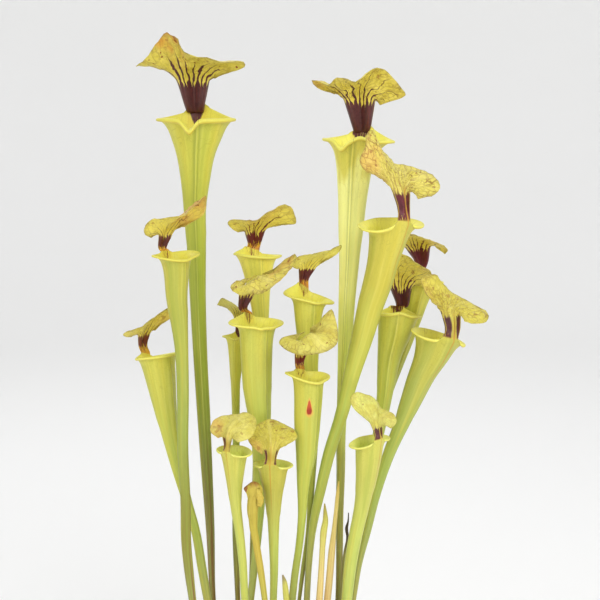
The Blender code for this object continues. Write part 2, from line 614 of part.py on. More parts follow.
def pegs(name, places, sides):
    """Upright pegs as (x, y, bottom, top, radius), as one cutter."""
    points = []
    faces = []
    for x, y, bottom, top, radius in places:
        first = len(points)
        for height in (bottom, top):
            for k in range(sides):
                turn = 2 * math.pi * (k + 0.5) / sides
                points.append((x + radius * math.cos(turn), y + radius * math.sin(turn), height))
        low = list(range(first, first + sides))
        high = list(range(first + sides, first + 2 * sides))
        faces += [tuple(reversed(low)), tuple(high)]
        for k in range(sides):
            n = (k + 1) % sides
            faces.append((low[k], low[n], high[n], high[k]))
    return solid(name, points, faces, COMPOST_FINISH)


def pot():
    band_low = POT_HEIGHT - POT_BAND_HEIGHT
    band_radius = wall_radius(band_low) + POT_BAND_OUT
    band_top = band_radius + 1.5
    profile = [
        (0, 0), (POT_BASE_RADIUS - POT_FOOT_BEVEL, 0), (POT_BASE_RADIUS, POT_FOOT_BEVEL),
        (wall_radius(band_low), band_low), (band_radius, band_low + 2.0),
        (band_top, POT_HEIGHT - 1.0), (band_top - 1.0, POT_HEIGHT),
        (band_top - POT_WALL, POT_HEIGHT), (band_top - POT_WALL - 0.8, POT_HEIGHT - 1.0),
        (band_radius - POT_WALL - 0.6, band_low + 5.0), (wall_radius(band_low) - POT_WALL, band_low),
        (POT_BASE_RADIUS - POT_WALL - 1.0, POT_FLOOR), (0, POT_FLOOR)]
    points, faces = turned(profile, POT_SIDES)
    thing = solid("pot", points, faces, POT_FINISH, sharp=35)
    drains = []
    for k in range(DRAIN_COUNT):
        turn = 2 * math.pi * k / DRAIN_COUNT
        x, y = DRAIN_CIRCLE * math.cos(turn), DRAIN_CIRCLE * math.sin(turn)
        drains.append((x, y, -5.0, POT_FLOOR + 5.0, DRAIN_RADIUS))
    cut(thing, pegs("drain_cutter", drains, 10))
    return thing


def compost():
    """The compost that fills the pot, gently crowned and uneven, with a hole at each stem."""
    draw = random.Random(7)
    bottom = POT_FLOOR + GAP
    side_low = POT_BASE_RADIUS - POT_WALL - 1.0 - 3 * GAP
    shoulder = COMPOST_TOP - COMPOST_CROWN - 5.0
    side_high = wall_radius(shoulder) - POT_WALL - 3 * GAP
    rings = list(COMPOST_RINGS) + [side_high - 1.0]
    profile = [(0, COMPOST_TOP + COMPOST_CROWN)]
    for radius in rings:
        share = radius / side_high
        profile.append((radius, COMPOST_TOP + COMPOST_CROWN * (1 - 2 * share**2)))
    profile += [(side_high, shoulder), (side_low, bottom), (0, bottom)]
    points, faces = turned(profile, COMPOST_SIDES)
    crowned = 1 + COMPOST_SIDES * len(rings)
    for k in range(crowned):
        x, y, z = points[k]
        points[k] = (x, y, z + draw.uniform(-COMPOST_BUMP, COMPOST_BUMP))
    thing = solid("compost", points, faces, COMPOST_FINISH)
    holes = []
    for leaf in PITCHERS.values():
        x = leaf["mouth"][0] + leaf["base"][0]
        y = leaf["mouth"][1] + leaf["base"][1]
        width = (leaf["tube"][-1][3] + 1.0) * SIDE_TO_DEPTH
        holes.append((x, y, width))
    holes += [(path[-1][0], path[-1][1], path[-1][3]) for path in SHOOTS.values()]
    floor = COMPOST_TOP - HOLE_DEPTH
    high = COMPOST_TOP + 12.0
    spread = 1 / math.cos(math.pi / HOLE_SIDES)
    places = [(x, y, floor, high, (width / 2 + HOLE_CLEARANCE) * spread) for x, y, width in holes]
    cut(thing, pegs("stem_hole_cutter", places, HOLE_SIDES))
    return thing


clear_objects()
for leaf_name, leaf_sizes in PITCHERS.items():
    pitcher(leaf_name, leaf_sizes)
for shoot_name, shoot_path in SHOOTS.items():
    shoot(shoot_name, shoot_path)
compost()
pot()
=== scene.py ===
"""Looks of the potted yellow pitcher plant: fine leaves, shoots, compost and pot."""
import math
import random

import bmesh
import bpy
import numpy as np
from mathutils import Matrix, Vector, noise


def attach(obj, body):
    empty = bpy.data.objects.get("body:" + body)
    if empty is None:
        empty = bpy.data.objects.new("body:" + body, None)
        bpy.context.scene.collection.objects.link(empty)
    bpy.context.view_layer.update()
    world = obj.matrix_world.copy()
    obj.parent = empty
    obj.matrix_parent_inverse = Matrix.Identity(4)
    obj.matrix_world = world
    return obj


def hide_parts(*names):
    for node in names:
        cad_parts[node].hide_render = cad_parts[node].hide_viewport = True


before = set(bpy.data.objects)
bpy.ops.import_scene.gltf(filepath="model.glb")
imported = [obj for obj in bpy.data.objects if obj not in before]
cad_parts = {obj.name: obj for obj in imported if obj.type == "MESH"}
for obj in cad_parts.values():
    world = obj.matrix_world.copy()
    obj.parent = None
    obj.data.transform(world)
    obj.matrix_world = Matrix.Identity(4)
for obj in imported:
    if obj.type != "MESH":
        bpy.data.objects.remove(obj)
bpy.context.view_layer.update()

MM = 0.001

# Pot and compost, in millimetres, as in the solids
POT_HEIGHT = 187.0
POT_BASE_RADIUS = 88.0
POT_WALL_TOP_RADIUS = 109.0
POT_BAND_HEIGHT = 24.0
POT_BAND_OUT = 4.5
POT_WALL = 2.2
POT_FLOOR = 3.0
POT_SIDES = 192
DRAIN_RADIUS = 6.0
DRAIN_CIRCLE = 62.0
DRAIN_COUNT = 6
DRAIN_SIDES = 24
COMPOST_TOP = 170.0
COMPOST_SIDES = 220
COMPOST_RINGS = 74
STREWN_RADIUS = 98.0
HOLE_DEPTH = 14.0
STEM_END = HOLE_DEPTH - 1.0

# Leaves: sizes in millimetres, angles in degrees, shares of the mouth's width
BLADE = 0.9
RIM_OUT = 0.35
SIDE_TO_DEPTH = 1.1
BACK_TO_NECK = 1.08
LIP_ROLL = 0.038
FLARE_DEPTH = 0.10
FRONT_FLARE = 0.07
RISE_DEPTH = 20.0
LEAN_DEPTH = 30.0
WING_OUT = 2.2
WING_HALF = 2.6
COLUMN_FOLD = 0.45
EVEN_ARCH = (0.42,) * 5
LID_WAVE = 0.022
CRINKLE_WIDTH = 9.0
EDGE_WIDTH = 1.3
STEM_FOOT = 6.0
HOLLOW = 1.9
HOLLOW_POINT = 4.0
STRIPS_ACROSS = 40
STRIPS_FRONT = 76
FRONT_CROWDING = 0.055
CURLS = (190.0, 165.0, 140.0, 115.0, 90.0, 65.0, 42.0, 20.0)
HOLLOW_STEPS = (0.0, 0.015, 0.035, 0.06, 0.09, 0.125, 0.165, 0.21, 0.26, 0.32, 0.39, 0.47, 0.56,
                0.67, 0.79, 0.92, 1.06, 1.22, 1.39, 1.56, 1.73, 1.9)
STEM_STEPS = 34
COLUMN_ROWS = 12
LID_ROWS = 24
SHOOT_SIDES = 28
SHOOT_ROWS = 90

# Each pitcher, in millimetres, with mouth, tube and base after the solids. "mouth" is the
# middle of the mouth; every other place is measured from it, x to the right, y to the back and
# z up. "faces" is the heading of the mouth's front in degrees, -90 towards the viewer. "lean"
# tips the mouth to the right and to the viewer, in degrees. "ears" are the lip's left and right
# tips, as seen in the photograph, out and up. "rise" lifts the lip's back beside the column,
# left and right, with the power that keeps it close. "waves" are dips of the front lip: turn in
# degrees, depth and half width in degrees. "tube" runs down the middle of the tube as x, y, z
# and width, to "base" in the compost. "neck" and "crown" are the column's narrowest and widest
# places, with their widths. "arch" is how far the lid rises before it bends over, as a share of
# its length, at five places across it, and "lid" its free edge, both from the photograph's left.
PITCHERS = {
    "pitcher_left_tall": dict(
        mouth=(-89, 40, 795), faces=-84, lean=(0, 0), ears=((43.5, 0), (41, 0)),
        rise=(7, 13, 2.5), waves=[(-14, 12, 11)], base=(15, -16), neck=(-4, 28, 8, 17.5),
        crown=(-6, 24, 38, 34), crinkle=1.2,
        tube=[(0, 0, 0, 66), (-1, 0, -21, 54), (-2, -1, -37, 43), (-3, -2, -69, 31),
            (-4, -3, -100, 24), (-3, -4, -133, 22), (-2, -6, -201, 18), (0, -8, -267, 16),
            (3, -11, -334, 15), (6, -14, -401, 13), (9, -16, -470, 10), (11, -18, -556, 7)],
        lid=[(-67, 8, 57), (-61, 4, 60), (-53, 0, 67), (-43, -8, 79), (-36, -12, 86),
            (-30, -16, 91), (-26, -18, 88), (-19, -21, 85), (-14, -25, 75), (-6, -29, 68),
            (4, -30, 65), (15, -28, 63), (30, -22, 59), (44, -12, 61), (52, -3, 61), (53, 4, 57),
            (47, 6, 53), (35, 8, 50), (19, 12, 44)]),
    "pitcher_left_middle": dict(
        mouth=(-110, -15, 650), faces=-42, lean=(1, 6), ears=((28, 4), (31, 0)), rise=(2, 0, 4),
        waves=[(0, 1, 20)], base=(20, -7), neck=(-14, 12, 5, 10.5), crown=(-12, 12, 21, 17),
        arch=(0.4, 0.36, 0.3, 0.2, 0.3), crinkle=1.4,
        tube=[(0, 0, 0, 32), (1, 0, -15, 27), (1, 0, -45, 22), (3, 0, -70, 19), (5, -1, -97, 15),
            (6, -3, -148, 13), (5, -5, -218, 12), (7, -7, -273, 11), (7, -8, -318, 11),
            (10, -9, -359, 10), (13, -10, -388, 8)],
        lid=[(-26, 6, 19), (-31, 2, 22), (-32, -3, 27), (-30, -7, 33), (-25, -12, 38),
            (-19, -16, 41), (-11, -20, 42), (-1, -23, 44), (11, -24, 45), (20, -22, 52),
            (28, -19, 58), (35, -14, 65), (35, -10, 55), (29, -5, 42), (23, -2, 38), (10, 2, 31)]),
    "pitcher_left_low": dict(
        mouth=(-138, 20, 532), faces=-40, lean=(-10, -10), ears=((26, 1), (33, 0)),
        rise=(5, 0, 2), base=(72, -26), neck=(-16.5, 14, 9, 11.5), crown=(-15, 12, 22, 16),
        arch=(0.4, 0.36, 0.3, 0.2, 0.3), crinkle=1.0,
        tube=[(1, 0, 0, 38), (5, -2, -24, 33), (8, -4, -45, 28), (15, -8, -88, 19),
            (25, -12, -132, 14), (34, -16, -165, 11), (43, -19, -198, 10), (50, -21, -243, 10),
            (56, -23, -281, 9)],
        lid=[(-28, 8, 20), (-34, 5, 21), (-36, 0, 25), (-31, -5, 29), (-21, -9, 33),
            (-12, -12, 37), (-3, -14, 43), (7, -15, 50), (16, -12, 57), (20, -6, 53), (17, -2, 43),
            (6, 2, 36), (-1, 5, 29)]),
    "pitcher_centre_high": dict(
        mouth=(-28, 55, 641), faces=-73, lean=(4, -7), ears=((25, 1), (29, 3)), rise=(8, 3, 2),
        base=(-14, -21), neck=(-2, 20, 8, 15), crown=(0, 18, 25, 23),
        arch=(0.4, 0.4, 0.36, 0.22, 0.3), crinkle=1.2,
        tube=[(2, 0, 0, 41), (4, -1, -23, 31), (5, -2, -40, 25), (7, -3, -68, 18),
            (6, -6, -117, 14), (4, -9, -185, 11), (1, -12, -253, 9), (-3, -14, -323, 7),
            (-7, -18, -409, 6)],
        lid=[(-19, 10, 26), (-25, 7, 30), (-30, 3, 37), (-28, -2, 40), (-18, -8, 42),
            (-6, -12, 41), (4, -15, 42), (14, -17, 49), (24, -17, 55), (34, -15, 60), (42, -11, 56),
            (46, -6, 47), (47, -1, 37), (36, 3, 36), (22, 7, 33)]),
    "pitcher_centre_front": dict(
        mouth=(-25, 5, 574), faces=-55, lean=(5, 2), ears=((34, 0), (31, 0)), rise=(6, 1, 3),
        waves=[(10, 1, 20), (-22, 1.5, 10)], base=(-17, -3), neck=(-14, 12, 12, 10),
        crown=(-11, 10, 27, 18), arch=(0.6, 1.15, 0.75, 0.2, 0.5), crinkle=2.4,
        tube=[(2, 0, 0, 39), (1, 0, -18, 36), (1, -1, -51, 33), (2, -2, -84, 30),
            (4, -2, -110, 25), (5, -3, -141, 20), (4, -3, -181, 16), (0, -4, -252, 10),
            (-8, -5, -324, 8)],
        lid=[(2, 9, 50), (-6, 9, 48), (-14, 8, 47), (-21, 5, 45), (-26, -1, 43), (-26, -8, 38),
            (-20, -14, 35), (-13, -19, 33), (-4, -24, 35), (5, -28, 36), (14, -31, 39),
            (21, -32, 45), (29, -31, 53), (36, -27, 59), (41, -21, 65), (45, -12, 76),
            (38, -4, 73), (29, 2, 66), (19, 6, 57), (8, 9, 52)]),
    "pitcher_centre_back": dict(
        mouth=(-48, 45, 550), faces=-100, lean=(0, -6), ears=((16.5, 0), (16.5, 0)),
        rise=(3, 1, 3), waves=[(0, 2, 20)], base=(2, -25), neck=(2, 13, 9, 8),
        crown=(2, 12, 19, 12), crinkle=0.8,
        tube=[(0, 0, 0, 23), (-1, -1, -19, 17), (-2, -2, -46, 12), (-2, -4, -90, 9),
            (-2, -8, -159, 8), (-3, -13, -228, 8), (-1, -18, -313, 6)],
        lid=[(-22, 0, 36), (-16, -8, 45), (-7, -14, 42), (3, -18, 36), (9, -14, 33), (12, -6, 27),
            (9, 2, 21)]),
    "pitcher_mid_high": dict(
        mouth=(34, 25, 599), faces=-67, lean=(12, 3), ears=((29, 0), (29, -2)), rise=(10, 2, 2),
        waves=[(0, 1, 20)], base=(-19, -15), neck=(-6, 16, 15, 11), crown=(-2, 14, 30, 20),
        arch=(0.4, 0.4, 0.3, 0.2, 0.3), crinkle=1.0,
        tube=[(0, 0, 0, 35), (-1, -2, -25, 29), (-1, -3, -42, 25), (0, -5, -77, 21),
            (2, -7, -117, 17), (4, -8, -152, 14), (3, -11, -210, 9), (-1, -13, -273, 5),
            (-7, -14, -320, 5), (-11, -15, -354, 4)],
        lid=[(-13, 8, 30), (-18, 4, 33), (-17, -2, 40), (-13, -8, 45), (-5, -13, 48),
            (5, -17, 50), (15, -19, 53), (26, -18, 56), (35, -14, 60), (35, -9, 55), (31, -4, 49),
            (22, 0, 43), (13, 4, 37)]),
    "pitcher_mid_spotted": dict(
        mouth=(34, -30, 521), faces=-52, lean=(6, 4), ears=((28, 6), (26, 0)), rise=(3, 0, 3),
        waves=[(0, 1, 20)], base=(-26, 16), neck=(-11, 14, 12, 11), crown=(-10, 12, 20, 14),
        arch=(0.95, 1.1, 1.05, 0.7, 0.6), crinkle=1.6,
        tube=[(-1, 0, 0, 32), (-1, 0, -22, 30), (-2, 1, -48, 28), (-3, 3, -87, 23),
            (-6, 6, -119, 15), (-8, 8, -164, 9), (-11, 10, -196, 8), (-16, 12, -233, 8),
            (-19, 13, -263, 8)],
        lid=[(-5, 15, 46), (-11, 14, 44), (-20, 12, 42), (-27, 7, 42), (-31, 0, 41),
            (-32, -8, 38), (-28, -15, 35), (-21, -21, 32), (-13, -26, 30), (-5, -29, 30),
            (5, -32, 32), (13, -33, 33), (21, -30, 36), (28, -24, 40), (30, -13, 49),
            (28, -2, 62), (23, 5, 73), (17, 9, 65.5), (9, 13, 56), (1, 15, 50)]),
    "pitcher_right_tall": dict(
        mouth=(87, 45, 772), faces=-103, lean=(2, 0), ears=((38.5, 0), (40, 0)),
        rise=(6, 13, 2.5), waves=[(-24, 9, 13), (14, -4, 14)], base=(-21, -21),
        neck=(7, 25, 9, 19), crown=(4, 21, 41, 34), crinkle=1.4,
        tube=[(1, 0, 0, 56), (-1, 0, -15, 46), (-4, -2, -57, 33), (-6, -3, -100, 27),
            (-8, -5, -143, 22), (-10, -7, -179, 19), (-12, -9, -231, 16), (-14, -11, -283, 13),
            (-16, -13, -334, 11), (-16, -15, -379, 10), (-17, -17, -424, 9), (-17, -19, -471, 8),
            (-18, -20, -534, 7)],
        lid=[(-25, 10, 49), (-35, 8, 53), (-44, 6, 57), (-50, 5, 64), (-45, 2, 64), (-39, -2, 60),
            (-32, -5, 59), (-27, -9, 64), (-23, -13, 67), (-18, -18, 67), (-10, -24, 64),
            (-3, -28, 62), (2, -27, 65), (10, -22, 72), (20, -16, 77), (28, -12, 76), (35, -8, 70),
            (42, -4, 64), (49, 1, 55), (54, 5, 49), (48, 8, 45), (38, 10, 42), (26, 14, 38)]),
    "pitcher_right_curved": dict(
        mouth=(121, -10, 683), faces=127, lean=(6, 11), ears=((41, 0), (41, 0)), rise=(8, 5, 3),
        base=(-91, 9), neck=(13, -14, 19, 16), crown=(11, -12, 34, 22), crinkle=2.2,
        tube=[(1, 0, 0, 45), (-3, 0, -20, 39), (-7, 0, -38, 34), (-13, 1, -64, 32),
            (-20, 2, -88, 29), (-29, 4, -125, 25), (-40, 7, -168, 19), (-51, 10, -214, 15),
            (-64, 12, -258, 14), (-74, 13, -303, 12), (-83, 13, -350, 9), (-87, 12, -395, 7),
            (-89, 11, -434, 7)],
        lid=[(-27, -16, 57), (-34, -13, 65), (-28, -7, 84), (-24.5, 1, 99), (-18.5, 8, 99),
            (-17.5, 16, 88), (-6, 26, 75), (6, 32, 64), (20, 30, 61), (35, 24, 57), (47, 14, 51),
            (53, 4, 41), (46, -5, 33), (37, -9, 30), (28, -12, 29)]),
    "pitcher_right_back": dict(
        mouth=(164, 70, 610), faces=-80, lean=(3, -4), ears=((26.5, 0), (26.5, 0)),
        rise=(6, 5, 3), waves=[(0, 2, 20)], base=(-90, -26), neck=(2, 20, 17, 15),
        crown=(-2, 17, 35, 28), crinkle=1.2,
        tube=[(-1, 0, 0, 42), (-6, -2, -22, 30), (-11, -4, -45, 23), (-24, -10, -88, 16),
            (-39, -15, -133, 12), (-54, -20, -212, 9), (-68, -22, -295, 8), (-80, -24, -369, 7)],
        lid=[(-31, 5, 43), (-25, -8, 52), (-17, -18, 56), (-7, -25, 55), (7, -20, 49),
            (21, -10, 42), (30, -2, 36), (28, 4, 31)]),
    "pitcher_right_middle": dict(
        mouth=(136, 30, 578), faces=-92, lean=(5, -9), ears=((25.5, 0), (25.5, 0)),
        rise=(7, 7, 2.5), waves=[(4, -3, 20)], base=(-66, -24), neck=(2, 19, 5, 13),
        crown=(3, 17, 27, 24), crinkle=1.4,
        tube=[(-2, 0, 0, 42), (-5, 0, -21, 37), (-11, -2, -49, 26), (-16, -5, -93, 18),
            (-21, -8, -127, 14), (-29, -12, -169, 10), (-41, -18, -236, 9), (-54, -22, -320, 8)],
        lid=[(-19, 10, 49), (-15, -2, 64), (-3, -14, 70), (9, -20, 66), (21, -18, 58),
            (31, -8, 52), (35, 2, 44), (31, 8, 35), (22, 12, 31)]),
    "pitcher_right_outer": dict(
        mouth=(179, 4, 557), faces=123, lean=(19, 4), ears=((33, 0), (33, 0)), rise=(4, 4, 3),
        base=(-111, -18), neck=(12, -14, 13, 20), crown=(11, -12, 25, 24), crinkle=2.2,
        tube=[(-2, 0, 0, 46), (-10, -2, -23, 37), (-21, -4, -45, 30), (-30, -6, -67, 25),
            (-39, -9, -89, 20), (-57, -14, -132, 14), (-70, -16, -175, 11), (-80, -18, -220, 9),
            (-88, -19, -255, 7), (-95, -19, -303, 6)],
        lid=[(-5, -28, 39), (-13, -27, 45), (-20, -26, 55), (-24, -24, 64), (-25, -22, 69),
            (-19, -20, 72), (-8, -15, 72), (-3, -11, 65), (7, -2, 54), (16, 8, 47), (25, 16, 42),
            (41, 25, 32), (53, 22, 25), (55, 14, 21), (51, 7, 16), (41, 2, 15), (33, -2, 16),
            (25, -5, 19)]),
    "small_pitcher_right": dict(
        mouth=(96, -60, 458), faces=132, lean=(-2, 3), ears=((26, 0), (26, -1)), rise=(3, 3, 3),
        base=(-30, 28), neck=(11, -8, 10, 11), crown=(10, -7, 16, 13), crinkle=1.0,
        tube=[(2, 0, 0, 29), (1, 1, -19, 27), (0, 3, -34, 24), (-5, 10, -76, 17),
            (-11, 14, -110, 15), (-16, 18, -144, 14), (-20, 23, -191, 12)],
        lid=[(-6, -9, 29), (-16, -7, 38), (-19, -2, 46), (-14, 6, 51), (-2, 14, 47), (8, 19, 41),
            (16, 21, 30), (22, 17, 28), (28, 10, 26), (30, 2, 20), (24, -4, 15)]),
    "small_pitcher_left": dict(
        mouth=(-47, -60, 447), faces=53, lean=(-2, 4), ears=((21, 0), (21, 0)), rise=(1, 2, 3),
        base=(15, 22), neck=(-6, -9, 9, 8), crown=(-6, -8, 16, 12), crinkle=1.0,
        tube=[(1, 0, 0, 28), (1, 2, -25, 20), (1, 4, -43, 15), (2, 6, -65, 12), (5, 9, -94, 10),
            (8, 12, -130, 9), (10, 14, -175, 8)],
        lid=[(-16, -4, 16), (-24, 2, 21), (-22, 10, 29), (-14, 18, 32), (-1, 24, 33),
            (12, 25, 35), (23, 17, 31), (24, 6, 25), (18, -6, 16), (6, -11, 13)]),
    "small_pitcher_centre": dict(
        mouth=(-4, -50, 429), faces=78, lean=(0, 0), ears=((21, 0), (21, 0)), rise=(1, 1.5, 4),
        base=(-2, 32), neck=(-3, -12, 12, 12), crown=(-3, -10, 18, 16), crinkle=1.0,
        tube=[(-1, 0, 0, 31), (-1, 1, -18, 26), (-1, 3, -31, 21), (-1, 8, -56, 15),
            (-1, 16, -95, 11), (-1, 22, -134, 9), (-2, 26, -168, 8)],
        lid=[(-12, -8, 13), (-21, -4, 19), (-28, 4, 28), (-20, 15, 38), (-11, 22, 42),
            (-1, 26, 42), (11, 23, 37), (22, 13, 33), (25, 5, 29), (13, -5, 22)]),
}

# Young growth with no open mouth, from tip to base: x, y, z and width in millimetres
SHOOTS = {
    "young_pitcher_curled":
        [(-24, -62, 410, 3), (-24, -62, 408, 8), (-24.5, -62, 404, 11), (-25.5, -62, 398, 12),
            (-26, -62, 392, 12.5), (-26.5, -61, 386, 12.5), (-27, -60, 379, 11.5),
            (-26.5, -57, 370, 10), (-26.5, -55, 362, 9), (-24, -50, 341, 8), (-19, -45, 304, 7.5),
            (-15, -41, 269, 6.5), (-11, -36, 210, 7), (-10, -34, 170, 8)],
    "shoot_yellow":
        [(51, -34, 379, 1.2), (51.5, -34, 371, 3.5), (52, -34, 360, 6), (50, -33, 345, 7.5),
            (49, -33, 330, 6.5), (48, -32, 308, 6.5), (46, -31, 270, 7.5), (42, -29, 215, 7.5),
            (40, -28, 170, 8)],
    "shoot_orange":
        [(67, -18, 399, 1.2), (66, -18, 386, 3.8), (64, -17.5, 362, 4.5), (62, -17, 340, 5.5),
            (60, -17, 319, 7.5), (57, -16, 280, 8), (52, -13, 220, 8), (50, -12, 170, 8)],
    "shoot_brown":
        [(78, -20, 363, 1), (77.5, -20, 352, 2), (76, -20, 345, 3.5), (77, -20, 335, 3),
            (74, -19, 315, 3), (71, -18, 270, 4), (62, -21, 210, 5), (58, -22, 170, 6)],
    "shoot_small":
        [(5, -50, 303, 1.5), (7, -50, 295, 5), (8, -50, 287, 6.5), (9, -50, 273, 6.5),
            (10, -46, 220, 6.5), (10, -42, 170, 7)],
}

# Colours are red, green and blue as they look on screen, 0 to 255. "tube" runs from the lip to
# the base, "well" and "well_low" down the hollow, "under" and "over" are the lid's faces.
# "torn" breaks the column's dark base into streaks, "thick" widens its veins, "tan" is a warm
# flush of the lid: a place across it, its width and strength. "keel" is where the outer rib runs
# across the column. "blotch" is a spot on the tube: x, z, half width and half height.
# The hollow, "well" and "well_low", and the lid's inner face, "under" and "under_low", are the
# leaf's own yellow lifted with painted light, to brighten these shaded faces.
FULL = dict(tube=[(0.0, (212, 206, 84)), (0.1, (206, 203, 82)), (0.3, (184, 190, 74)),
        (0.55, (164, 172, 72)), (0.8, (156, 158, 80)), (1.0, (146, 124, 72))], well=(252, 246, 112),
    well_low=(240, 236, 104), lip=(212, 206, 92), under=(236, 219, 98), under_low=(220, 196, 70),
    over=(225, 212, 104), column=(84, 44, 46), veins=1.0, net=0.5, spots=0.5, torn=0.25,
    tan=(0.6, 0.5, 0.3), flush=(220, 166, 84), rim=0.5, keel=0.0, keel_half=0.22, keel_line=0.8,
    line=0.25, foot=0.6, thick=1.0)
FRESH = dict(FULL, tube=[(0.0, (200, 197, 80)), (0.12, (196, 196, 84)), (0.32, (194, 204, 90)),
        (0.55, (178, 190, 84)), (0.8, (166, 172, 92)), (1.0, (152, 148, 84))], foot=0.25)
PALE = dict(FULL, tube=[(0.0, (206, 202, 92)), (0.15, (200, 198, 92)), (0.4, (198, 206, 100)),
        (0.7, (190, 202, 100)), (1.0, (172, 178, 90))], column=(92, 46, 48), well=(244, 250, 132),
    well_low=(234, 244, 124), net=0.3, keel_line=0.35, under=(216, 204, 98), over=(226, 216, 112),
    veins=0.4, spots=0.5, foot=0.0, rim=0.3)
OLIVE = dict(FULL, tube=[(0.0, (206, 200, 78)), (0.12, (194, 194, 74)), (0.28, (164, 173, 62)),
        (0.5, (138, 150, 57)), (0.75, (141, 143, 72)), (1.0, (138, 112, 72))], foot=0.9)
# SUNLIT is FULL with a painted highlight: a band high on the tube lifted nearly to white.
SUNLIT = dict(FULL, tube=[(0.0, (216, 206, 84)), (0.035, (222, 212, 92)), (0.07, (255, 253, 152)),
        (0.26, (255, 255, 156)), (0.42, (230, 238, 116)), (0.66, (162, 164, 82)),
        (1.0, (142, 130, 70))])
# SHADED is FRESH darkened all along as painted shade.
SHADED = dict(FRESH, tube=[(0.0, (184, 182, 78)), (0.12, (170, 176, 82)), (0.4, (160, 176, 78)),
        (0.65, (156, 164, 86)), (1.0, (150, 146, 84))])
LOOKS = {
    "pitcher_left_tall": dict(OLIVE, spots=1.0, thick=1.8, tan=(-0.42, 0.22, 1.0), torn=0.1,
        line=0.4, flush=(214, 126, 50), under=(203, 187, 72), under_low=(222, 200, 68),
        well=(232, 222, 86), well_low=(216, 208, 80)),
    "pitcher_left_middle": dict(FRESH, tan=(0.45, 0.5, 0.9), foot=0.8, torn=1.0, veins=0.6,
        column=(94, 40, 36), well=(232, 222, 86), well_low=(216, 208, 80),
        tube=[(0.0, (186, 184, 78)), (0.15, (172, 176, 72)), (0.4, (160, 170, 76)),
            (0.65, (142, 140, 56)), (0.85, (154, 158, 84)), (1.0, (146, 138, 78))]),
    "pitcher_left_low": dict(FRESH, foot=0.5, torn=1.1, veins=0.8, column=(108, 48, 36)),
    # This pitcher's upper tube is lifted with painted light against the shade cast on it.
    "pitcher_centre_high": dict(OLIVE, tan=(0.0, 0.4, 0.4), torn=0.95, veins=1.1,
        column=(104, 38, 38), tube=[(0.0, (240, 228, 98)), (0.12, (232, 224, 98)),
            (0.35, (180, 188, 76)), (1.0, (140, 128, 72))]),
    "pitcher_centre_front": dict(FRESH, tan=(0.35, 0.35, 0.5), spots=0.9, torn=0.8, net=0.7,
        column=(88, 34, 42), over=(226, 212, 98)),
    "pitcher_centre_back": dict(OLIVE, under=(226, 218, 112), under_low=(226, 208, 92), net=0.3,
        over=(232, 226, 132), tube=[(0.0, (226, 220, 92)), (0.12, (214, 212, 88)),
            (0.28, (174, 182, 72)), (0.5, (144, 156, 62)), (1.0, (138, 112, 72))]),
    # This lid's inner face is lifted further with painted light, as it faces down into shade.
    "pitcher_mid_high": dict(FULL, veins=0.5, torn=0.8, net=0.3, tan=(0.6, 0.5, 0.0),
        column=(100, 38, 42), under=(254, 242, 124), under_low=(246, 228, 98), rim=0.5),
    "pitcher_mid_spotted": dict(FRESH, spots=0.8, torn=0.95, net=0.5, tan=(0.5, 0.3, 0.2),
        column=(122, 42, 38), over=(223, 215, 106), blotch=(34.0, 490.0, 4.2, 8.5)),
    "pitcher_right_tall": dict(SUNLIT, tan=(-0.9, 0.3, 0.5), torn=0.1, net=0.8, line=0.4,
        veins=1.5, thick=1.5, under=(216, 197, 78)),
    "pitcher_right_curved": dict(FRESH, tan=(0.7, 0.35, 0.6), spots=0.7, net=1.0, keel=-0.55,
        keel_half=0.14, torn=0.3, column=(104, 36, 46), tube=[(0.0, (204, 192, 78)),
            (0.12, (196, 186, 72)), (0.25, (192, 196, 86)), (0.45, (196, 211, 99)),
            (0.62, (188, 198, 91)), (0.8, (182, 184, 109)), (1.0, (168, 166, 102))]),
    "pitcher_right_back": dict(OLIVE, veins=1.4, thick=1.3, net=0.35, column=(98, 34, 44)),
    "pitcher_right_middle": dict(FRESH, veins=1.4, thick=1.3, net=0.5, torn=0.55,
        column=(78, 34, 38)),
    "pitcher_right_outer": dict(SHADED, net=0.6, keel=-0.3, keel_half=0.4, torn=0.4,
        tan=(0.9, 0.3, 0.25), over=(216, 204, 86)),
    "small_pitcher_right": dict(PALE, keel=-0.5, tan=(-0.75, 0.2, 0.2), over=(226, 224, 118)),
    "small_pitcher_left": dict(PALE, tan=(0.8, 0.35, 0.7), spots=0.4, keel=-0.1, keel_half=0.72),
    "small_pitcher_centre": dict(PALE, tan=(0.8, 0.3, 0.5), over=(220, 208, 92), net=0.5,
        tube=[(0.0, (190, 182, 74)), (0.15, (192, 186, 80)), (0.4, (196, 204, 98)),
            (0.7, (190, 202, 100)), (1.0, (172, 178, 90))], keel_half=0.62),
}

# Each shoot's slot, its colours from tip to base, and the colour of its streaks
SHOOT_LOOKS = {
    "young_pitcher_curled": (
        "young_leaf", [(0.0, (150, 96, 50)), (0.05, (196, 176, 70)), (0.22, (202, 184, 72)),
            (0.35, (206, 182, 75)), (0.6, (200, 193, 87)), (1.0, (190, 200, 98))], (172, 146, 50)),
    "shoot_yellow": (
        "yellow_shoot", [(0.0, (150, 140, 60)), (0.12, (208, 208, 98)), (0.4, (232, 210, 136)),
            (1.0, (236, 194, 122))], (206, 150, 72)),
    "shoot_orange": (
        "orange_shoot", [(0.0, (222, 196, 92)), (0.15, (240, 222, 134)), (0.5, (248, 222, 148)),
            (1.0, (240, 192, 144))], (216, 152, 94)),
    "shoot_brown": (
        "brown_shoot", [(0.0, (44, 34, 26)), (0.14, (66, 52, 34)), (0.26, (150, 146, 78)),
            (1.0, (150, 150, 80))], (96, 84, 46)),
    "shoot_small": (
        "small_shoot", [(0.0, (140, 120, 90)), (0.08, (206, 200, 96)), (1.0, (206, 212, 84))],
        (168, 160, 60)),
}
TUBE_RIBS = 20
SHOOT_RIBS = 8

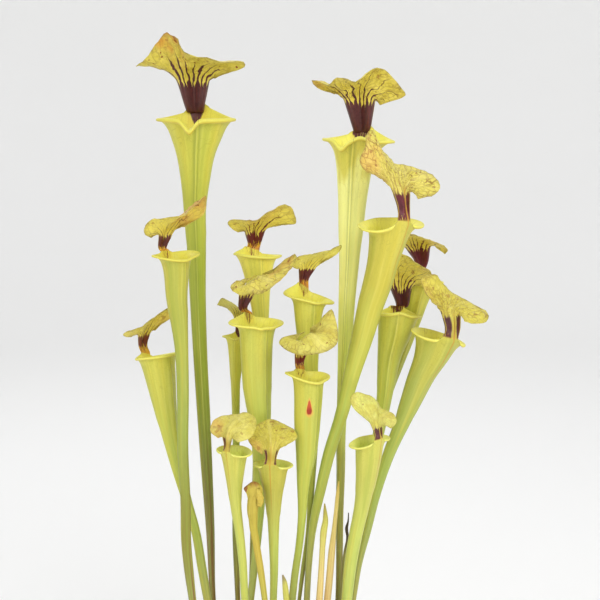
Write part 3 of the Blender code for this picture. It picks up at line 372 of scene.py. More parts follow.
# What lies on the peat: how much of it, and the fact "kind" that colours it
CRUMBS, FIBRES, TUFTS = 260, 420, 16
STRAND_STEPS = 4
PEAT, CRUMB, FIBRE, GRIT = (0.0, 0.0, 0.0), (0.3, 0.0, 0.0), (0.5, 0.0, 0.0), (1.0, 0.0, 0.0)
MOSS = 0.8

# The stage, in metres; lamps are name, place, height aimed at over the middle, size and power
STAGE_MIDDLE, WALL_RADIUS, WALL_BEND, WALL_TOP = -1.6, 5.4, 1.2, 4.5
LAMPS = (("key", (1.15, -1.8, 2.0), 0.6, 1.6, 24.5), ("fill", (-1.8, -1.4, 1.2), 0.5, 1.6, 5.5),
         ("low", (0.3, -1.9, 0.25), 0.8, 1.2, 7.0), ("back", (-0.5, 1.4, 2.0), 0.7, 1.0, 6.0))


def through(points, at):
    """Read the smooth curve through the points at shares of its length, 0 to 1."""
    points = np.array(points, float)
    steps = np.linalg.norm(np.diff(points[:, :3], axis=0), axis=1)
    knots = np.concatenate([[0.0], np.cumsum(steps)]) / steps.sum()
    slopes = np.gradient(points, knots, axis=0)
    at = np.clip(np.atleast_1d(at), 0.0, 1.0)
    left = np.clip(np.searchsorted(knots, at, side="right") - 1, 0, len(knots) - 2)
    span = (knots[left + 1] - knots[left])[:, None]
    t = (at - knots[left])[:, None] / span
    return ((2 * t**3 - 3 * t**2 + 1) * points[left] + (t**3 - 2 * t**2 + t) * span * slopes[left]
            + (3 * t**2 - 2 * t**3) * points[left + 1] + (t**3 - t**2) * span * slopes[left + 1])


def smooth(low, high, value):
    """Ease from 0 at low to 1 at high."""
    t = np.clip((value - low) / (high - low), 0.0, 1.0)
    return t * t * (3 - 2 * t)


def unit(vectors):
    """The same vectors with a length of 1."""
    return vectors / np.maximum(np.linalg.norm(vectors, axis=-1, keepdims=True), 1e-9)


def circle(sides, radius=1.0):
    """Points x, y round a circle."""
    turns = [2 * math.pi * k / sides for k in range(sides)]
    return [(radius * math.cos(turn), radius * math.sin(turn)) for turn in turns]


class Pitcher:
    """The middle surface of one pitcher, as formulas, in millimetres from its mouth."""

    def __init__(self, leaf):
        self.leaf = leaf
        heading = math.radians(leaf["faces"])
        self.front = np.array([math.cos(heading), math.sin(heading), 0.0])
        self.side = np.array([-math.sin(heading), math.cos(heading), 0.0])
        self.right = 1 if self.side[0] > 0 else -1
        self.depth_share = 0.5 / math.hypot(SIDE_TO_DEPTH * math.sin(heading), math.cos(heading))
        self.size = leaf["tube"][0][3]
        drop = COMPOST_TOP + STEM_FOOT - leaf["mouth"][2]
        self.path = [*leaf["tube"], (*leaf["base"], drop, leaf["tube"][-1][3] + 1.0)]
        self.reach = sum(math.dist(a[:3], b[:3]) for a, b in zip(self.path, self.path[1:]))
        self.lid_edge = leaf["lid"][::self.right]
        self.arch = leaf.get("arch", EVEN_ARCH)[::self.right]
        back_half = BACK_TO_NECK * leaf["neck"][3] / 2
        wide = self.size * self.depth_share * SIDE_TO_DEPTH
        self.back_angle = math.degrees(math.asin(min(back_half / wide, 0.6)))

    def ring(self, below, angles, rolled=0.0):
        """Points round the tube at a distance below the lip; rolled turns the lip over."""
        *middle, width = through(self.path, below / self.reach)[0]
        size = self.size
        deep = width * self.depth_share
        wide = deep * SIDE_TO_DEPTH
        angles = np.asarray(angles)
        turn = np.radians(angles)
        sine, cosine = np.sin(turn), np.cos(turn)
        ear = sine**4
        near_lip = math.exp(-below / (FLARE_DEPTH * size))
        on_right = smooth(-0.4, 0.4, sine * self.right)
        (left_out, left_up), (right_out, right_up) = self.leaf["ears"]
        tip_out = left_out + (right_out - left_out) * on_right
        tip_up = left_up + (right_up - left_up) * on_right
        spread = (tip_out - size * self.depth_share * SIDE_TO_DEPTH) * ear
        spread = spread + FRONT_FLARE * size * (0.5 - 0.5 * cosine) * (1 - ear)
        spread = spread * near_lip
        dip = np.zeros(len(angles))
        for at, drop, half in self.leaf.get("waves", ()):
            from_wave = (angles - (180.0 - at) + 180.0) % 360.0 - 180.0
            dip = dip + drop * near_lip * np.exp(-(from_wave / half)**2)
        arc = np.radians((angles % 360.0) - 180.0) * width / 2
        wing = WING_OUT * np.exp(-(arc / WING_HALF)**2) * min(width / 14.0, 1.0)
        wing = wing * smooth(0.05, 0.5, below / size) * smooth(1.0, 0.8, below / self.reach)
        out_wide = wide + spread + wing
        out_deep = deep + spread + wing + 0.3 * dip
        flat = np.outer(out_wide * sine, self.side) - np.outer(out_deep * cosine, self.front)
        rise_left, rise_right, power = self.leaf["rise"]
        rise = np.clip(cosine / math.cos(math.radians(self.back_angle)), 0, 1)**power
        rise = rise * (rise_left + (rise_right - rise_left) * on_right) + tip_up * ear
        lift = rise * math.exp(-below / RISE_DEPTH) - dip
        lift = lift + self.lean(flat) * math.exp(-below / LEAN_DEPTH)
        points = flat + np.array(middle)
        points[:, 2] += lift
        if rolled > 0:
            radius = LIP_ROLL * size * (1 - 0.5 * ear)
            away = np.abs((angles + 180.0) % 360.0 - 180.0)
            share = smooth(self.back_angle, self.back_angle + 22.0, away)
            curl = math.radians(rolled)
            points = points + unit(flat) * (radius * math.sin(curl) * share)[:, None]
            step = 0.05 * size * rolled / CURLS[0]
            points[:, 2] += -radius * (1 - math.cos(curl)) * share + step * (1 - share)
        return points

    def lean(self, flat):
        """How much the mouth's tilt lifts points round its middle."""
        right, near = (math.tan(math.radians(a)) for a in self.leaf["lean"])
        return flat[:, 1] * near - flat[:, 0] * right

    def column(self, share, across):
        """One row of the column, share 0 at the lip's back to 1 at the crown."""
        spine, edge = self.ring(0.0, [0.0, self.back_angle], rolled=CURLS[0])
        places = [(*spine, abs(float((edge - spine) @ self.side)))]
        for key in ("neck", "crown"):
            x, y, z, width = self.leaf[key]
            places.append((x, y, z, width / 2))
        *middle, half = through(places, share)[0]
        arc = np.radians(across * self.back_angle)
        blend = float(smooth(0.0, 0.5, share))
        round_side = half * np.sin(arc) / math.sin(math.radians(self.back_angle))
        open_side = half * across * (1.25 - 0.25 * across**2)
        sideways = open_side * blend + round_side * (1 - blend)
        deep = self.size * self.depth_share
        forward = deep * (1 - np.cos(arc)) * (1 - blend)
        forward = forward + blend * COLUMN_FOLD * half * np.sin(math.pi * np.abs(across)**1.3)
        flat = np.outer(sideways, self.side) + np.outer(forward, self.front)
        points = flat + np.array(middle)
        points[:, 2] += self.lean(flat) * (1 - blend)
        return points

    def lid(self, share, across):
        """One row of the lid, share 0 at the crown to 1 at its free edge."""
        start = self.column(1.0, across)
        along = unit(start - self.column(0.8, across))
        edge = through(self.lid_edge, (across + 1) / 2)
        length = np.linalg.norm(edge - start, axis=1)[:, None]
        arch = np.interp(across, (-1.0, -0.5, 0.0, 0.5, 1.0), self.arch)[:, None]
        bend = start + along * length * arch
        return start * (1 - share)**2 + 2 * bend * share * (1 - share) + edge * share**2


def point_normals(points, faces):
    """Unit normals at the points, averaged from the faces round each."""
    faces = np.array(faces)
    corners = points[faces]
    flats = np.cross(corners[:, 1] - corners[:, 0], corners[:, 2] - corners[:, 0])
    normals = np.zeros_like(points)
    for corner in range(3):
        np.add.at(normals, faces[:, corner], flats)
    return unit(normals)


def pairs(row):
    """Each entry of a closed row with the one after it."""
    return zip(row, row[1:] + row[:1])


def band(low, high, closed=True):
    """Triangles between two rows of point numbers of the same length."""
    steps = list(zip(pairs(low), pairs(high)))
    return [corners for (a, b), (c, d) in (steps if closed else steps[:-1])
            for corners in ((a, c, d), (a, d, b))]


def skin(rows):
    """Faces between closed rows of point numbers; a row that repeats one point is a tip."""
    return [tuple(dict.fromkeys((a, c, d, b))) for low, high in zip(rows, rows[1:])
            for (a, b), (c, d) in zip(pairs(low), pairs(high))]


def make(name, points, faces, material, replaces, facts):
    """A smooth piece from points in millimetres that rides on the plant's one body."""
    mesh = bpy.data.meshes.new(name)
    mesh.from_pydata((np.asarray(points, float) * MM).tolist(), [], [tuple(f) for f in faces])
    for key, values in facts.items():
        layer = mesh.attributes.new(key, "FLOAT_VECTOR", "POINT")
        layer.data.foreach_set("vector", np.asarray(values, np.float32).ravel())
    work = bmesh.new()
    work.from_mesh(mesh)
    bmesh.ops.recalc_face_normals(work, faces=work.faces[:])
    work.to_mesh(mesh)
    work.free()
    mesh.shade_smooth()
    mesh.materials.append(material)
    piece = bpy.data.objects.new(name, mesh)
    bpy.context.scene.collection.objects.link(piece)
    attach(piece, "root")
    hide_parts(*replaces)
    return piece


def pitcher(name, leaf, material):
    """One pitcher as a thin sheet with two faces, on a solid stem."""
    form = Pitcher(leaf)
    draw = random.Random(name)
    points, facts, faces = [], [], []
    across = np.linspace(-1, 1, STRIPS_ACROSS + 1)
    front = np.linspace(0, 1, STRIPS_FRONT + 1)[1:-1]
    front = front + FRONT_CROWDING * np.sin(2 * math.pi * front)
    angles = np.concatenate([across * form.back_angle,
                             form.back_angle + front * (360.0 - 2 * form.back_angle)])
    wrapped = (angles + 180.0) % 360.0 - 180.0

    def add(row, up, along=0.0, lip=0.0, edge=0.0, on_blade=False):
        """Add a row round the tube or across the blade, with nine facts for each point."""
        first = len(points)
        points.extend(row)
        side = across if on_blade else wrapped / form.back_angle
        turn = np.radians(side * form.back_angle)
        facts.extend(np.column_stack(np.broadcast_arrays(
            across if on_blade else wrapped / 180.0, up, 0.0,
            np.cos(turn), np.sin(turn), along, lip, edge, side)))
        return list(range(first, len(points)))

    # The sheet: rolled lip, hollow, column and lid
    away = smooth(form.back_angle, form.back_angle + 25.0, np.abs(wrapped))
    rings = [add(form.ring(0.0, angles, rolled=curl), 0.0, lip=away, edge=away * curl / CURLS[0])
             for curl in CURLS]
    for step in HOLLOW_STEPS:
        below = step * form.size
        rings.append(add(form.ring(below, angles), -step, below / form.reach,
                         lip=away * math.exp(-below / 2.0)))
    for lower, upper in zip(rings[1:], rings):
        faces += band(lower, upper)
    rows = [rings[0][:STRIPS_ACROSS + 1]]
    for share in np.linspace(0, 1, COLUMN_ROWS + 1)[1:]:
        row = form.column(share, across)
        half = np.linalg.norm(row[0] - row[-1]) / 2
        edge = np.exp(-(1 - np.abs(across)) * half / EDGE_WIDTH)
        rows.append(add(row, share, edge=edge, on_blade=True))
    waves = draw.uniform(1.8, 2.6)
    phase = draw.uniform(0, 6.28)
    height = LID_WAVE * form.size * draw.uniform(0.8, 1.2)
    length = np.linalg.norm(form.lid(1.0, across) - form.lid(0.0, across), axis=1)
    wave = np.sin(waves * math.pi * across + phase) + 0.5 * np.sin(5.3 * across + 2 * phase)
    for share in 1 - (1 - np.linspace(0, 1, LID_ROWS + 1)[1:])**1.3:
        row = form.lid(share, across)
        beside = form.lid(min(share + 0.02, 1.0), across) - form.lid(share - 0.02, across)
        face = unit(np.cross(np.gradient(row, axis=0), beside))
        row = row + face * (height * share**2 * (1 - share**8 * 0.6) * wave)[:, None]
        bumps = [noise.fractal(q / CRINKLE_WIDTH + Vector((form.size, 0, 0)), 0.7, 2.0, 3)
                 for q in map(Vector, row)]
        crinkle = leaf["crinkle"] * smooth(0.05, 0.5, share)
        row = row + face * (crinkle * np.array(bumps))[:, None]
        half = np.linalg.norm(row[0] - row[-1]) / 2
        nearest = np.minimum((1 - share) * length, (1 - np.abs(across)) * half)
        rows.append(add(row, 1 + share, edge=np.exp(-nearest / EDGE_WIDTH), on_blade=True))
    for low, high in zip(rows, rows[1:]):
        faces += band(low, high, closed=False)

    # Its two faces, joined by a rounded rim along the free margin
    sheet = np.array(points)
    normals = point_normals(sheet, faces)
    total = len(sheet)
    points[:] = [*(sheet + normals * BLADE / 2), *(sheet - normals * BLADE / 2)]
    inner = np.array(facts)
    inner[:, 2] = 1.0
    facts.extend(inner)
    faces += [(c + total, b + total, a + total) for a, b, c in faces]
    margin = rings[0][STRIPS_ACROSS:] + rings[0][:1] + [row[0] for row in rows[1:]]
    margin += rows[-1][1:] + [row[-1] for row in rows[-2:0:-1]]
    tangent = np.roll(sheet[margin], -1, axis=0) - np.roll(sheet[margin], 1, axis=0)
    rim = len(points)
    points.extend(sheet[margin] + unit(np.cross(tangent, normals[margin])) * BLADE * RIM_OUT)
    facts.extend([facts[k] for k in margin])
    for k, (a, b) in enumerate(pairs(margin)):
        c, d = rim + k, rim + (k + 1) % len(margin)
        faces += [(a, b, d), (a, d, c), (c, d, b + total), (c, b + total, a + total)]

    # The hollow's pointed end, the solid stem and its foot
    ring = rings[-1]
    well = len(points)
    bottom = np.array([points[k + total] for k in ring]).mean(axis=0)
    points.append(bottom - np.array([0.0, 0.0, HOLLOW_POINT]))
    facts.append((0.0, -HOLLOW, 1.0, 1.0, 0.0, 0.0, 0.0, 0.0, 0.0))
    faces += [(a + total, b + total, well) for a, b in pairs(ring)]
    start = HOLLOW * form.size
    stem = start + np.linspace(0, 1, STEM_STEPS + 1)[1:] * (form.reach - start)
    for number, below in enumerate([*stem, form.reach]):
        row = form.ring(below, angles)
        if number == STEM_STEPS:
            row[:, 2] -= STEM_FOOT + STEM_END
        lower = add(row, -below / form.size, below / form.reach)
        faces += band(lower, ring)
        ring = lower
    faces.append(tuple(ring))
    facts = np.array(facts)
    make(name + "_leaf", np.array(points) + np.array(leaf["mouth"]), faces, material,
         (name,),
         {"place": facts[:, :3], "ring": facts[:, 3:6], "zone": facts[:, 6:]})


def linear(colour):
    """A colour seen on screen, 0 to 255, as the shader's own red, green, blue and alpha."""
    parts = [c / 255.0 for c in colour]
    return tuple(c / 12.92 if c <= 0.04045 else ((c + 0.055) / 1.055)**2.4 for c in parts) + (1.0,)


class Value:
    """A number or colour that nodes work out: + - * and abs on it add math nodes."""

    def __init__(self, paint, socket):
        self.paint = paint
        self.socket = socket

    def __add__(self, other):
        return self.paint.math("ADD", self, other)

    def __sub__(self, other):
        return self.paint.math("SUBTRACT", self, other)

    def __rsub__(self, other):
        return self.paint.math("SUBTRACT", other, self)

    def __mul__(self, other):
        return self.paint.math("MULTIPLY", self, other)

    def __abs__(self):
        return self.paint.math("ABSOLUTE", self)

    def at_least(self, other):
        return self.paint.math("MAXIMUM", self, other)

    def at_most(self, other):
        return self.paint.math("MINIMUM", self, other)

    def zigzag(self):
        """Back and forth between 0 and 0.5 as the number grows."""
        return self.paint.math("PINGPONG", self, 0.5)

    def fade(self, low, high):
        """0 below low to 1 above high, or the other way where low is the larger."""
        share = self.paint.node("MapRange", {0: self, 1: min(low, high), 2: max(low, high)},
                                interpolation_type="SMOOTHSTEP")
        return 1.0 - share if low > high else share

    def lay(self, colour, share):
        """Lay a share of another colour over this one."""
        return self.paint.mix(share, self, colour)


class Paint:
    """A material whose colour is worked out by nodes from where a point is on its piece."""

    def __init__(self, name, roughness=0.5, **constants):
        self.material = bpy.data.materials.new(name)
        self.material.use_nodes = True
        self.tree = self.material.node_tree
        self.shader = self.tree.nodes["Principled BSDF"]
        self.shader.inputs["Roughness"].default_value = roughness
        for key, value in constants.items():
            self.shader.inputs[key.replace("_", " ")].default_value = value

    def put(self, socket, value):
        """Link a socket to a value, or set it to a constant or a colour seen on screen."""
        if isinstance(value, Value):
            self.tree.links.new(value.socket, socket)
        else:
            socket.default_value = linear(value) if socket.type == "RGBA" else value

    def node(self, kind, values, output=0, **settings):
        """A new node with its settings and inputs, as the value of one of its outputs."""
        node = self.tree.nodes.new("ShaderNode" + kind)
        for key, setting in settings.items():
            setattr(node, key, setting)
        for key, value in values.items():
            self.put(node.inputs[key], value)
        return Value(self, node.outputs[output])

    def math(self, operation, *values):
        return self.node("Math", dict(enumerate(values)), operation=operation)

    def mix(self, share, a, b):
        """From colour a to colour b by a share; the colour sockets of this node are 6 and 7."""
        return self.node("Mix", {0: share, 6: a, 7: b}, output=2, data_type="RGBA")

    def vector(self, parts):
        """Three numbers as one vector; a vector stays as it is."""
        if isinstance(parts, Value):
            return parts
        return self.node("CombineXYZ", dict(enumerate(parts)))

    def split(self, vector):
        return [Value(self, part)
                for part in self.node("SeparateXYZ", {0: vector}).socket.node.outputs]

    def fact(self, name):
        """The three numbers that a mesh attribute holds at each point."""
        return self.split(self.node("Attribute", {}, output="Vector", attribute_name=name))

    def position(self):
        return self.node("TexCoord", {}, output="Object")

    def noise(self, where, scale, detail=2.0, roughness=0.5):
        return self.node("TexNoise", {"Vector": self.vector(where), "Scale": scale,
                                      "Detail": detail, "Roughness": roughness})

    def mesh_lines(self, where, scale):
        """Distance to the nearest wall of a net of uneven cells."""
        return self.node("TexVoronoi", {"Vector": self.vector(where), "Scale": scale},
                         feature="DISTANCE_TO_EDGE")

    def ramp(self, value, stops):
        """Colours at their places along a number from 0 to 1."""
        colour = self.node("ValToRGB", {0: value})
        entries = colour.socket.node.color_ramp.elements
        while len(entries) < len(stops):
            entries.new(0.5)
        for entry, (at, seen) in zip(entries, stops):
            entry.position = at
            entry.color = linear(seen)
        return colour

    def finish(self, colour, roughness=None, **relief):
        """Join colour, roughness and a relief of Height, Strength and Distance to the shader."""
        self.put(self.shader.inputs["Base Color"], colour)
        if roughness is not None:
            self.put(self.shader.inputs["Roughness"], roughness)
        if relief:
            self.put(self.shader.inputs["Normal"], self.node("Bump", relief))
        return self.material


def leaf_paint(name, look, seed):
    """Tube, lip, mouth, column and lid of one pitcher, told apart by its mesh's facts."""
    p = Paint(name, Specular_IOR_Level=0.3, Subsurface_Weight=0.12, Subsurface_Scale=0.004)
    p.shader.inputs["Subsurface Radius"].default_value = (1.0, 0.9, 0.2)
    across, up, inside = p.fact("place")
    cosine, sine, along = p.fact("ring")
    lip, edge, side = p.fact("zone")
    spot = p.position()
    outside = 1.0 - inside
    aside = abs(side)
    fine = p.noise(spot, 260.0, 3.0, 0.6)

    def wound(turns, lengths, shift=seed):
        """A place round and along the tube, for noise that meets itself at the back."""
        return cosine * turns, sine * turns, along * lengths + shift

    # Tube: a colour down its length, soft streaks, faint veins, the wing and the back line
    streaks = p.noise(wound(2.6, 2.0), 2.2, 3.0, 0.6)
    cloud = p.noise(wound(1.0, 9.0), 1.3)
    warm = p.noise(wound(0.8, 1.4, seed * 1.7), 1.6, 1.0)
    wobble = p.noise(wound(1.5, 14.0), 2.0, 1.0)
    broken = p.noise(wound(3.0, 22.0), 3.0).fade(0.40, 0.62)
    red = p.noise(wound(1.4, 1.2, seed + 7.0), 2.6)
    turn = p.math("ARCTAN2", sine, cosine)
    rib = (turn * (TUBE_RIBS / (2 * math.pi)) + (wobble - 0.5) * 2.2).zigzag().fade(0.09, 0.0)
    branch = p.mesh_lines((turn * 2.2, along * 30.0, seed), 2.0).fade(0.035, 0.0)
    wing = abs(across)
    from_keel = abs(side - look["keel"])
    tube = (p.ramp(along + (cloud - 0.5) * 0.16, look["tube"])
            .lay((220, 196, 62), warm.fade(0.48, 0.66) * 0.24)
            .lay((150, 172, 62), warm.fade(0.46, 0.30) * 0.24)
            .lay((124, 138, 48), streaks.fade(0.42, 0.72) * 0.12)
            .lay((238, 230, 130), streaks.fade(0.52, 0.30) * 0.13)
            .lay((140, 130, 42), rib * broken * (up.fade(-3.2, -0.3) * 0.12 + 0.05))
            .lay((146, 136, 48), branch * up.fade(-2.2, -0.2) * 0.26)
            # A dark olive line along each side of the wing: the wing's own tint and painted shade
            # in the crease beside it.
            .lay((118, 128, 40), wing.fade(0.93, 0.985) * wing.fade(0.998, 0.985) * look["line"])
            .lay((222, 218, 120), wing.fade(0.985, 1.0) * 0.35)
            .lay((196, 132, 34), from_keel.fade(0.13, 0.03) * up.fade(-2.6, -0.1) * 0.7)
            .lay((126, 62, 44), along.fade(0.45, 0.95) * red.fade(0.50, 0.66) * look["foot"]))

    # Mouth: the hollow's colour, speckled, and a pale lip with a darker edge
    # The hollow's colours are its own yellow lifted with painted light against the shade in the
    # mouth.
    well = (p.mix(up.fade(-0.06, -0.7), look["well"], look["well_low"])
            .lay((170, 150, 40), p.noise(spot, 900.0).fade(0.5, 0.8) * 0.25)
            .lay((170, 140, 40), rib * 0.18))
    lower = (tube.lay(well, inside).lay(look["lip"], lip * 0.6)
             .lay((196, 160, 52), edge.fade(0.40, 0.70) * 0.45))

    # Column: dark, torn into streaks at its base, running down into the mouth as a point
    tear = p.noise((side * 2.6, up * 0.8, seed + 3.0), 3.4, 3.0, 0.6)
    ragged = p.noise((side * 5.0, up * 4.0, seed + 5.0), 2.4, 3.0, 0.7)
    rough_edge = (ragged - 0.5) * 0.30
    point_at = (up + 0.24 + rough_edge * 0.5) * 4.2
    tip = (aside - point_at).fade(0.10, -0.10).at_most(aside.fade(1.05, 0.95))
    split_at = tear - 0.70 + 0.27 * look["torn"] + up.fade(0.15, 0.75) * -0.3
    whole = 1.0 - split_at.fade(-0.025, 0.025)

    # Veins run up from the column, each with its own length, and thin out over the lid
    bend = p.noise((side * 1.4, up * 1.5, seed), 2.4)
    course = side * 4.4 + (bend - 0.5) * 1.3
    own = p.noise((p.math("ROUND", course) * 3.7, seed, 0.0), 5.0, 0.0)
    climb = up + (own - 0.5) * -0.55 + rough_edge * 0.5
    slim = climb.fade(1.7, 1.0) * (0.12 * look["thick"]) + 0.03
    half = (climb.fade(1.18, 0.82) * 0.58).at_least(slim)
    vein = (course.zigzag() - half).fade(0.035, -0.035)
    longer = 0.5 * max(look["veins"] - 1.0, 0.0)
    length = climb.fade(1.72 + longer, 1.48 + longer)
    strong = (vein * (length * look["veins"]).at_most(1.0)).at_least(vein * up.fade(1.1, 0.95))
    faint = vein * (1.0 - length) * up.fade(1.98, 1.5) * 0.45
    twig_at = (side * 11.0 + (bend - 0.5) * 4.0).zigzag()
    low_dark = tip * whole
    dark = strong * low_dark * up.fade(2.0, 1.9)
    half_keel = look["keel_half"]
    keel = (from_keel + (tear - 0.5) * 0.2).fade(half_keel + 0.06, half_keel - 0.06)
    outer_dark = (vein * tip * up.fade(1.12, 0.94) * up.fade(-0.02, 0.12) * (1.0 - keel * 0.8)
                  * whole)
    dark_here = inside * dark + outside * outer_dark
    maroon = (p.mix(tear.fade(0.48, 0.66) * 0.6, look["column"], (108, 46, 44))
              .lay((58, 28, 30), fine.fade(0.45, 0.7) * 0.5)
              .lay((146, 52, 38), up.fade(0.5, 0.05) * ragged.fade(0.4, 0.7) * look["torn"]))

    # Lid: netted and warm below, paler and bumpy above
    crook = p.noise(spot, 120.0) * 0.9
    net = p.mesh_lines((side * 6.5 + crook, up * 3.4 + crook, seed), 2.0).fade(0.10, 0.02)
    patch = p.noise(spot, 70.0).fade(0.36, 0.60)
    net = ((net * up.fade(0.95, 1.2) * (patch * 0.6 + 0.4))
           .at_least(twig_at.fade(0.11, 0.03) * up.fade(1.05, 1.25) * 0.5))
    cells = p.noise(spot, 95.0).fade(0.35, 0.65)
    # The inner face's colours are the lid's own, lifted with painted light against its shade.
    under = (p.mix(up.fade(1.75, 1.1) * 0.75, look["under"], look["under_low"])
             .lay((244, 226, 108), cells * 0.45)
             .lay((140, 104, 40), net * look["net"] * 0.8)
             .lay((236, 220, 120), fine.fade(0.5, 0.75) * 0.25)
             .lay((112, 66, 36), faint * min(look["veins"], 1.0))
             .lay((222, 184, 56), up.fade(0.85, 0.35))
             .lay((214, 132, 40), up.fade(0.5, 0.02) * tear.fade(0.40, 0.55) * 0.8))
    over_vein = vein * climb.fade(1.85, 1.1) * up.fade(0.95, 1.1) * 0.55
    over = (p.mix(cells * 0.6, look["over"], (206, 192, 76))
            .lay((136, 94, 38), net * look["net"] * 0.85)
            .lay((142, 86, 40), over_vein * look["net"])
            .lay((240, 228, 146), fine.fade(0.5, 0.78) * 0.35)
            .lay((206, 186, 70), up.fade(1.0, 0.5))
            .lay((200, 122, 34), from_keel.fade(0.14, 0.04) * up.fade(1.35, 0.9)
                 * look["keel_line"])
            .lay((238, 226, 130), from_keel.fade(0.10, 0.0) * up.fade(1.0, 1.3) * 0.4))
    tan_at, tan_wide, tan = look["tan"]
    outer_part = up.fade(1.2, 1.7)
    flush = (abs(side - tan_at).fade(tan_wide * 1.5, tan_wide * 0.5)
             * p.noise(spot, 42.0).fade(0.36, 0.62) * outer_part * tan)
    spots = p.noise(spot, 150.0, 1.0)
    many = ((spots.fade(0.68, 0.73) * outer_part * look["spots"])
            .at_least(flush * spots.fade(0.60, 0.66)))
    rim = edge * up.fade(0.3, 1.0) * patch.fade(-0.6, 1.0) * look["rim"]
    blade = (over.lay(under, inside).lay(look["flush"], flush * 0.8).lay(maroon, dark_here)
             .lay((140, 66, 30), many).lay((112, 92, 44), rim))

    # The dark point runs down inside the mouth too, in a warm patch
    near_tip = inside * aside.fade(1.6, 0.8) * up.fade(-0.3, -0.1)
    colour = (lower.lay((222, 182, 58), near_tip * 0.3)
              .lay(maroon, inside * low_dark * up.fade(-0.25, -0.2))
              .lay(blade, up.fade(0.0, 0.06)))
    if "blotch" in look:
        x, z, half, high = (v * MM for v in look["blotch"])
        x_at, y_at, z_at = p.split(spot)
        dx, dz = x_at - x, z_at - z
        narrow = dz.fade(-high, high * 1.2) * 1.6 + 1.0
        away = p.math("SQRT", p.math("POWER", dx * narrow * (1 / half), 2.0)
                      + p.math("POWER", dz * (1 / high), 2.0)) + (fine - 0.5) * 0.3
        here = y_at.fade(0.0, -0.03) * outside
        colour = (colour.lay((236, 170, 84), away.fade(1.5, 1.0) * here * 0.7)
                  .lay(p.mix(dz.fade(0.003, -0.004), (196, 84, 44), (164, 52, 32)),
                       away.fade(1.1, 0.8) * here))
    puff = net * -0.7 + cells * 0.8
    blade_height = puff * up.fade(1.0, 1.2) + vein * 0.35
    tube_height = rib * 0.12 + fine * 0.3
    height = p.vector([tube_height] * 3).lay(p.vector([blade_height] * 3), up.fade(0.0, 0.3))
    return p.finish(colour, (fine - 0.5) * 0.25 + 0.44 - dark_here * 0.06,
                    Height=height, Strength=0.6, Distance=0.0008)


def shoot_paint(name, stops, streak):
    """A young shoot, coloured from its tip to its base, with lengthwise streaks."""
    p = Paint(name, Specular_IOR_Level=0.35)
    cosine, sine, along = p.fact("ring")
    fine = p.noise(p.position(), 300.0, 3.0)
    streaks = p.noise((cosine * 2.5, sine * 2.5, along * 3.0), 2.4, 3.0, 0.6)
    turn = p.math("ARCTAN2", sine, cosine)
    rib = (turn * (SHOOT_RIBS / (2 * math.pi))).zigzag().fade(0.2, 0.02)
    colour = (p.ramp(along + (fine - 0.5) * 0.08, stops)
              .lay(streak, streaks.fade(0.5, 0.7) * 0.6).lay(streak, rib * 0.25))
    return p.finish(colour, fine * 0.2 + 0.42, Height=rib + fine, Strength=0.4, Distance=0.0005)


def shoot(path):
    """A closed round shoot of changing width, pointed at its tip, with a fold down its front."""
    shares = np.linspace(0.0, 1.0, SHOOT_ROWS + 1)[1:]**1.25
    foot = [*path[-1][:2], COMPOST_TOP - STEM_END, path[-1][3]]
    line = np.vstack([through(path, shares), foot])
    ahead = np.gradient(line[:, :3], axis=0)
    ahead[-2:] = (0.0, 0.0, -1.0)
    across = np.array([1.0, 0.0, 0.0])
    points = [np.array(path[0][:3], float)]
    facts = [(1.0, 0.0, 0.0)]
    rows = []
    for place, heading, share in zip(line, unit(ahead), [*shares, 1.0]):
        across = unit(across - heading * (across @ heading))
        other = np.cross(heading, across)
        rows.append(list(range(len(points), len(points) + SHOOT_SIDES)))
        for k, (cosine, sine) in enumerate(circle(SHOOT_SIDES)):
            from_front = 2 * math.pi * k / SHOOT_SIDES - math.pi * 1.5
            fold = 1.0 - 0.16 * math.exp(-(from_front / 0.28)**2)
            points.append(place[:3] + (across * cosine + other * sine) * place[3] / 2 * fold)
            facts.append((cosine, sine, share))
    faces = [(0, a, b) for a, b in pairs(rows[0])]
    for high, low in zip(rows, rows[1:]):
        faces += band(high, low)
    faces.append(tuple(rows[-1]))
    return points, faces, facts


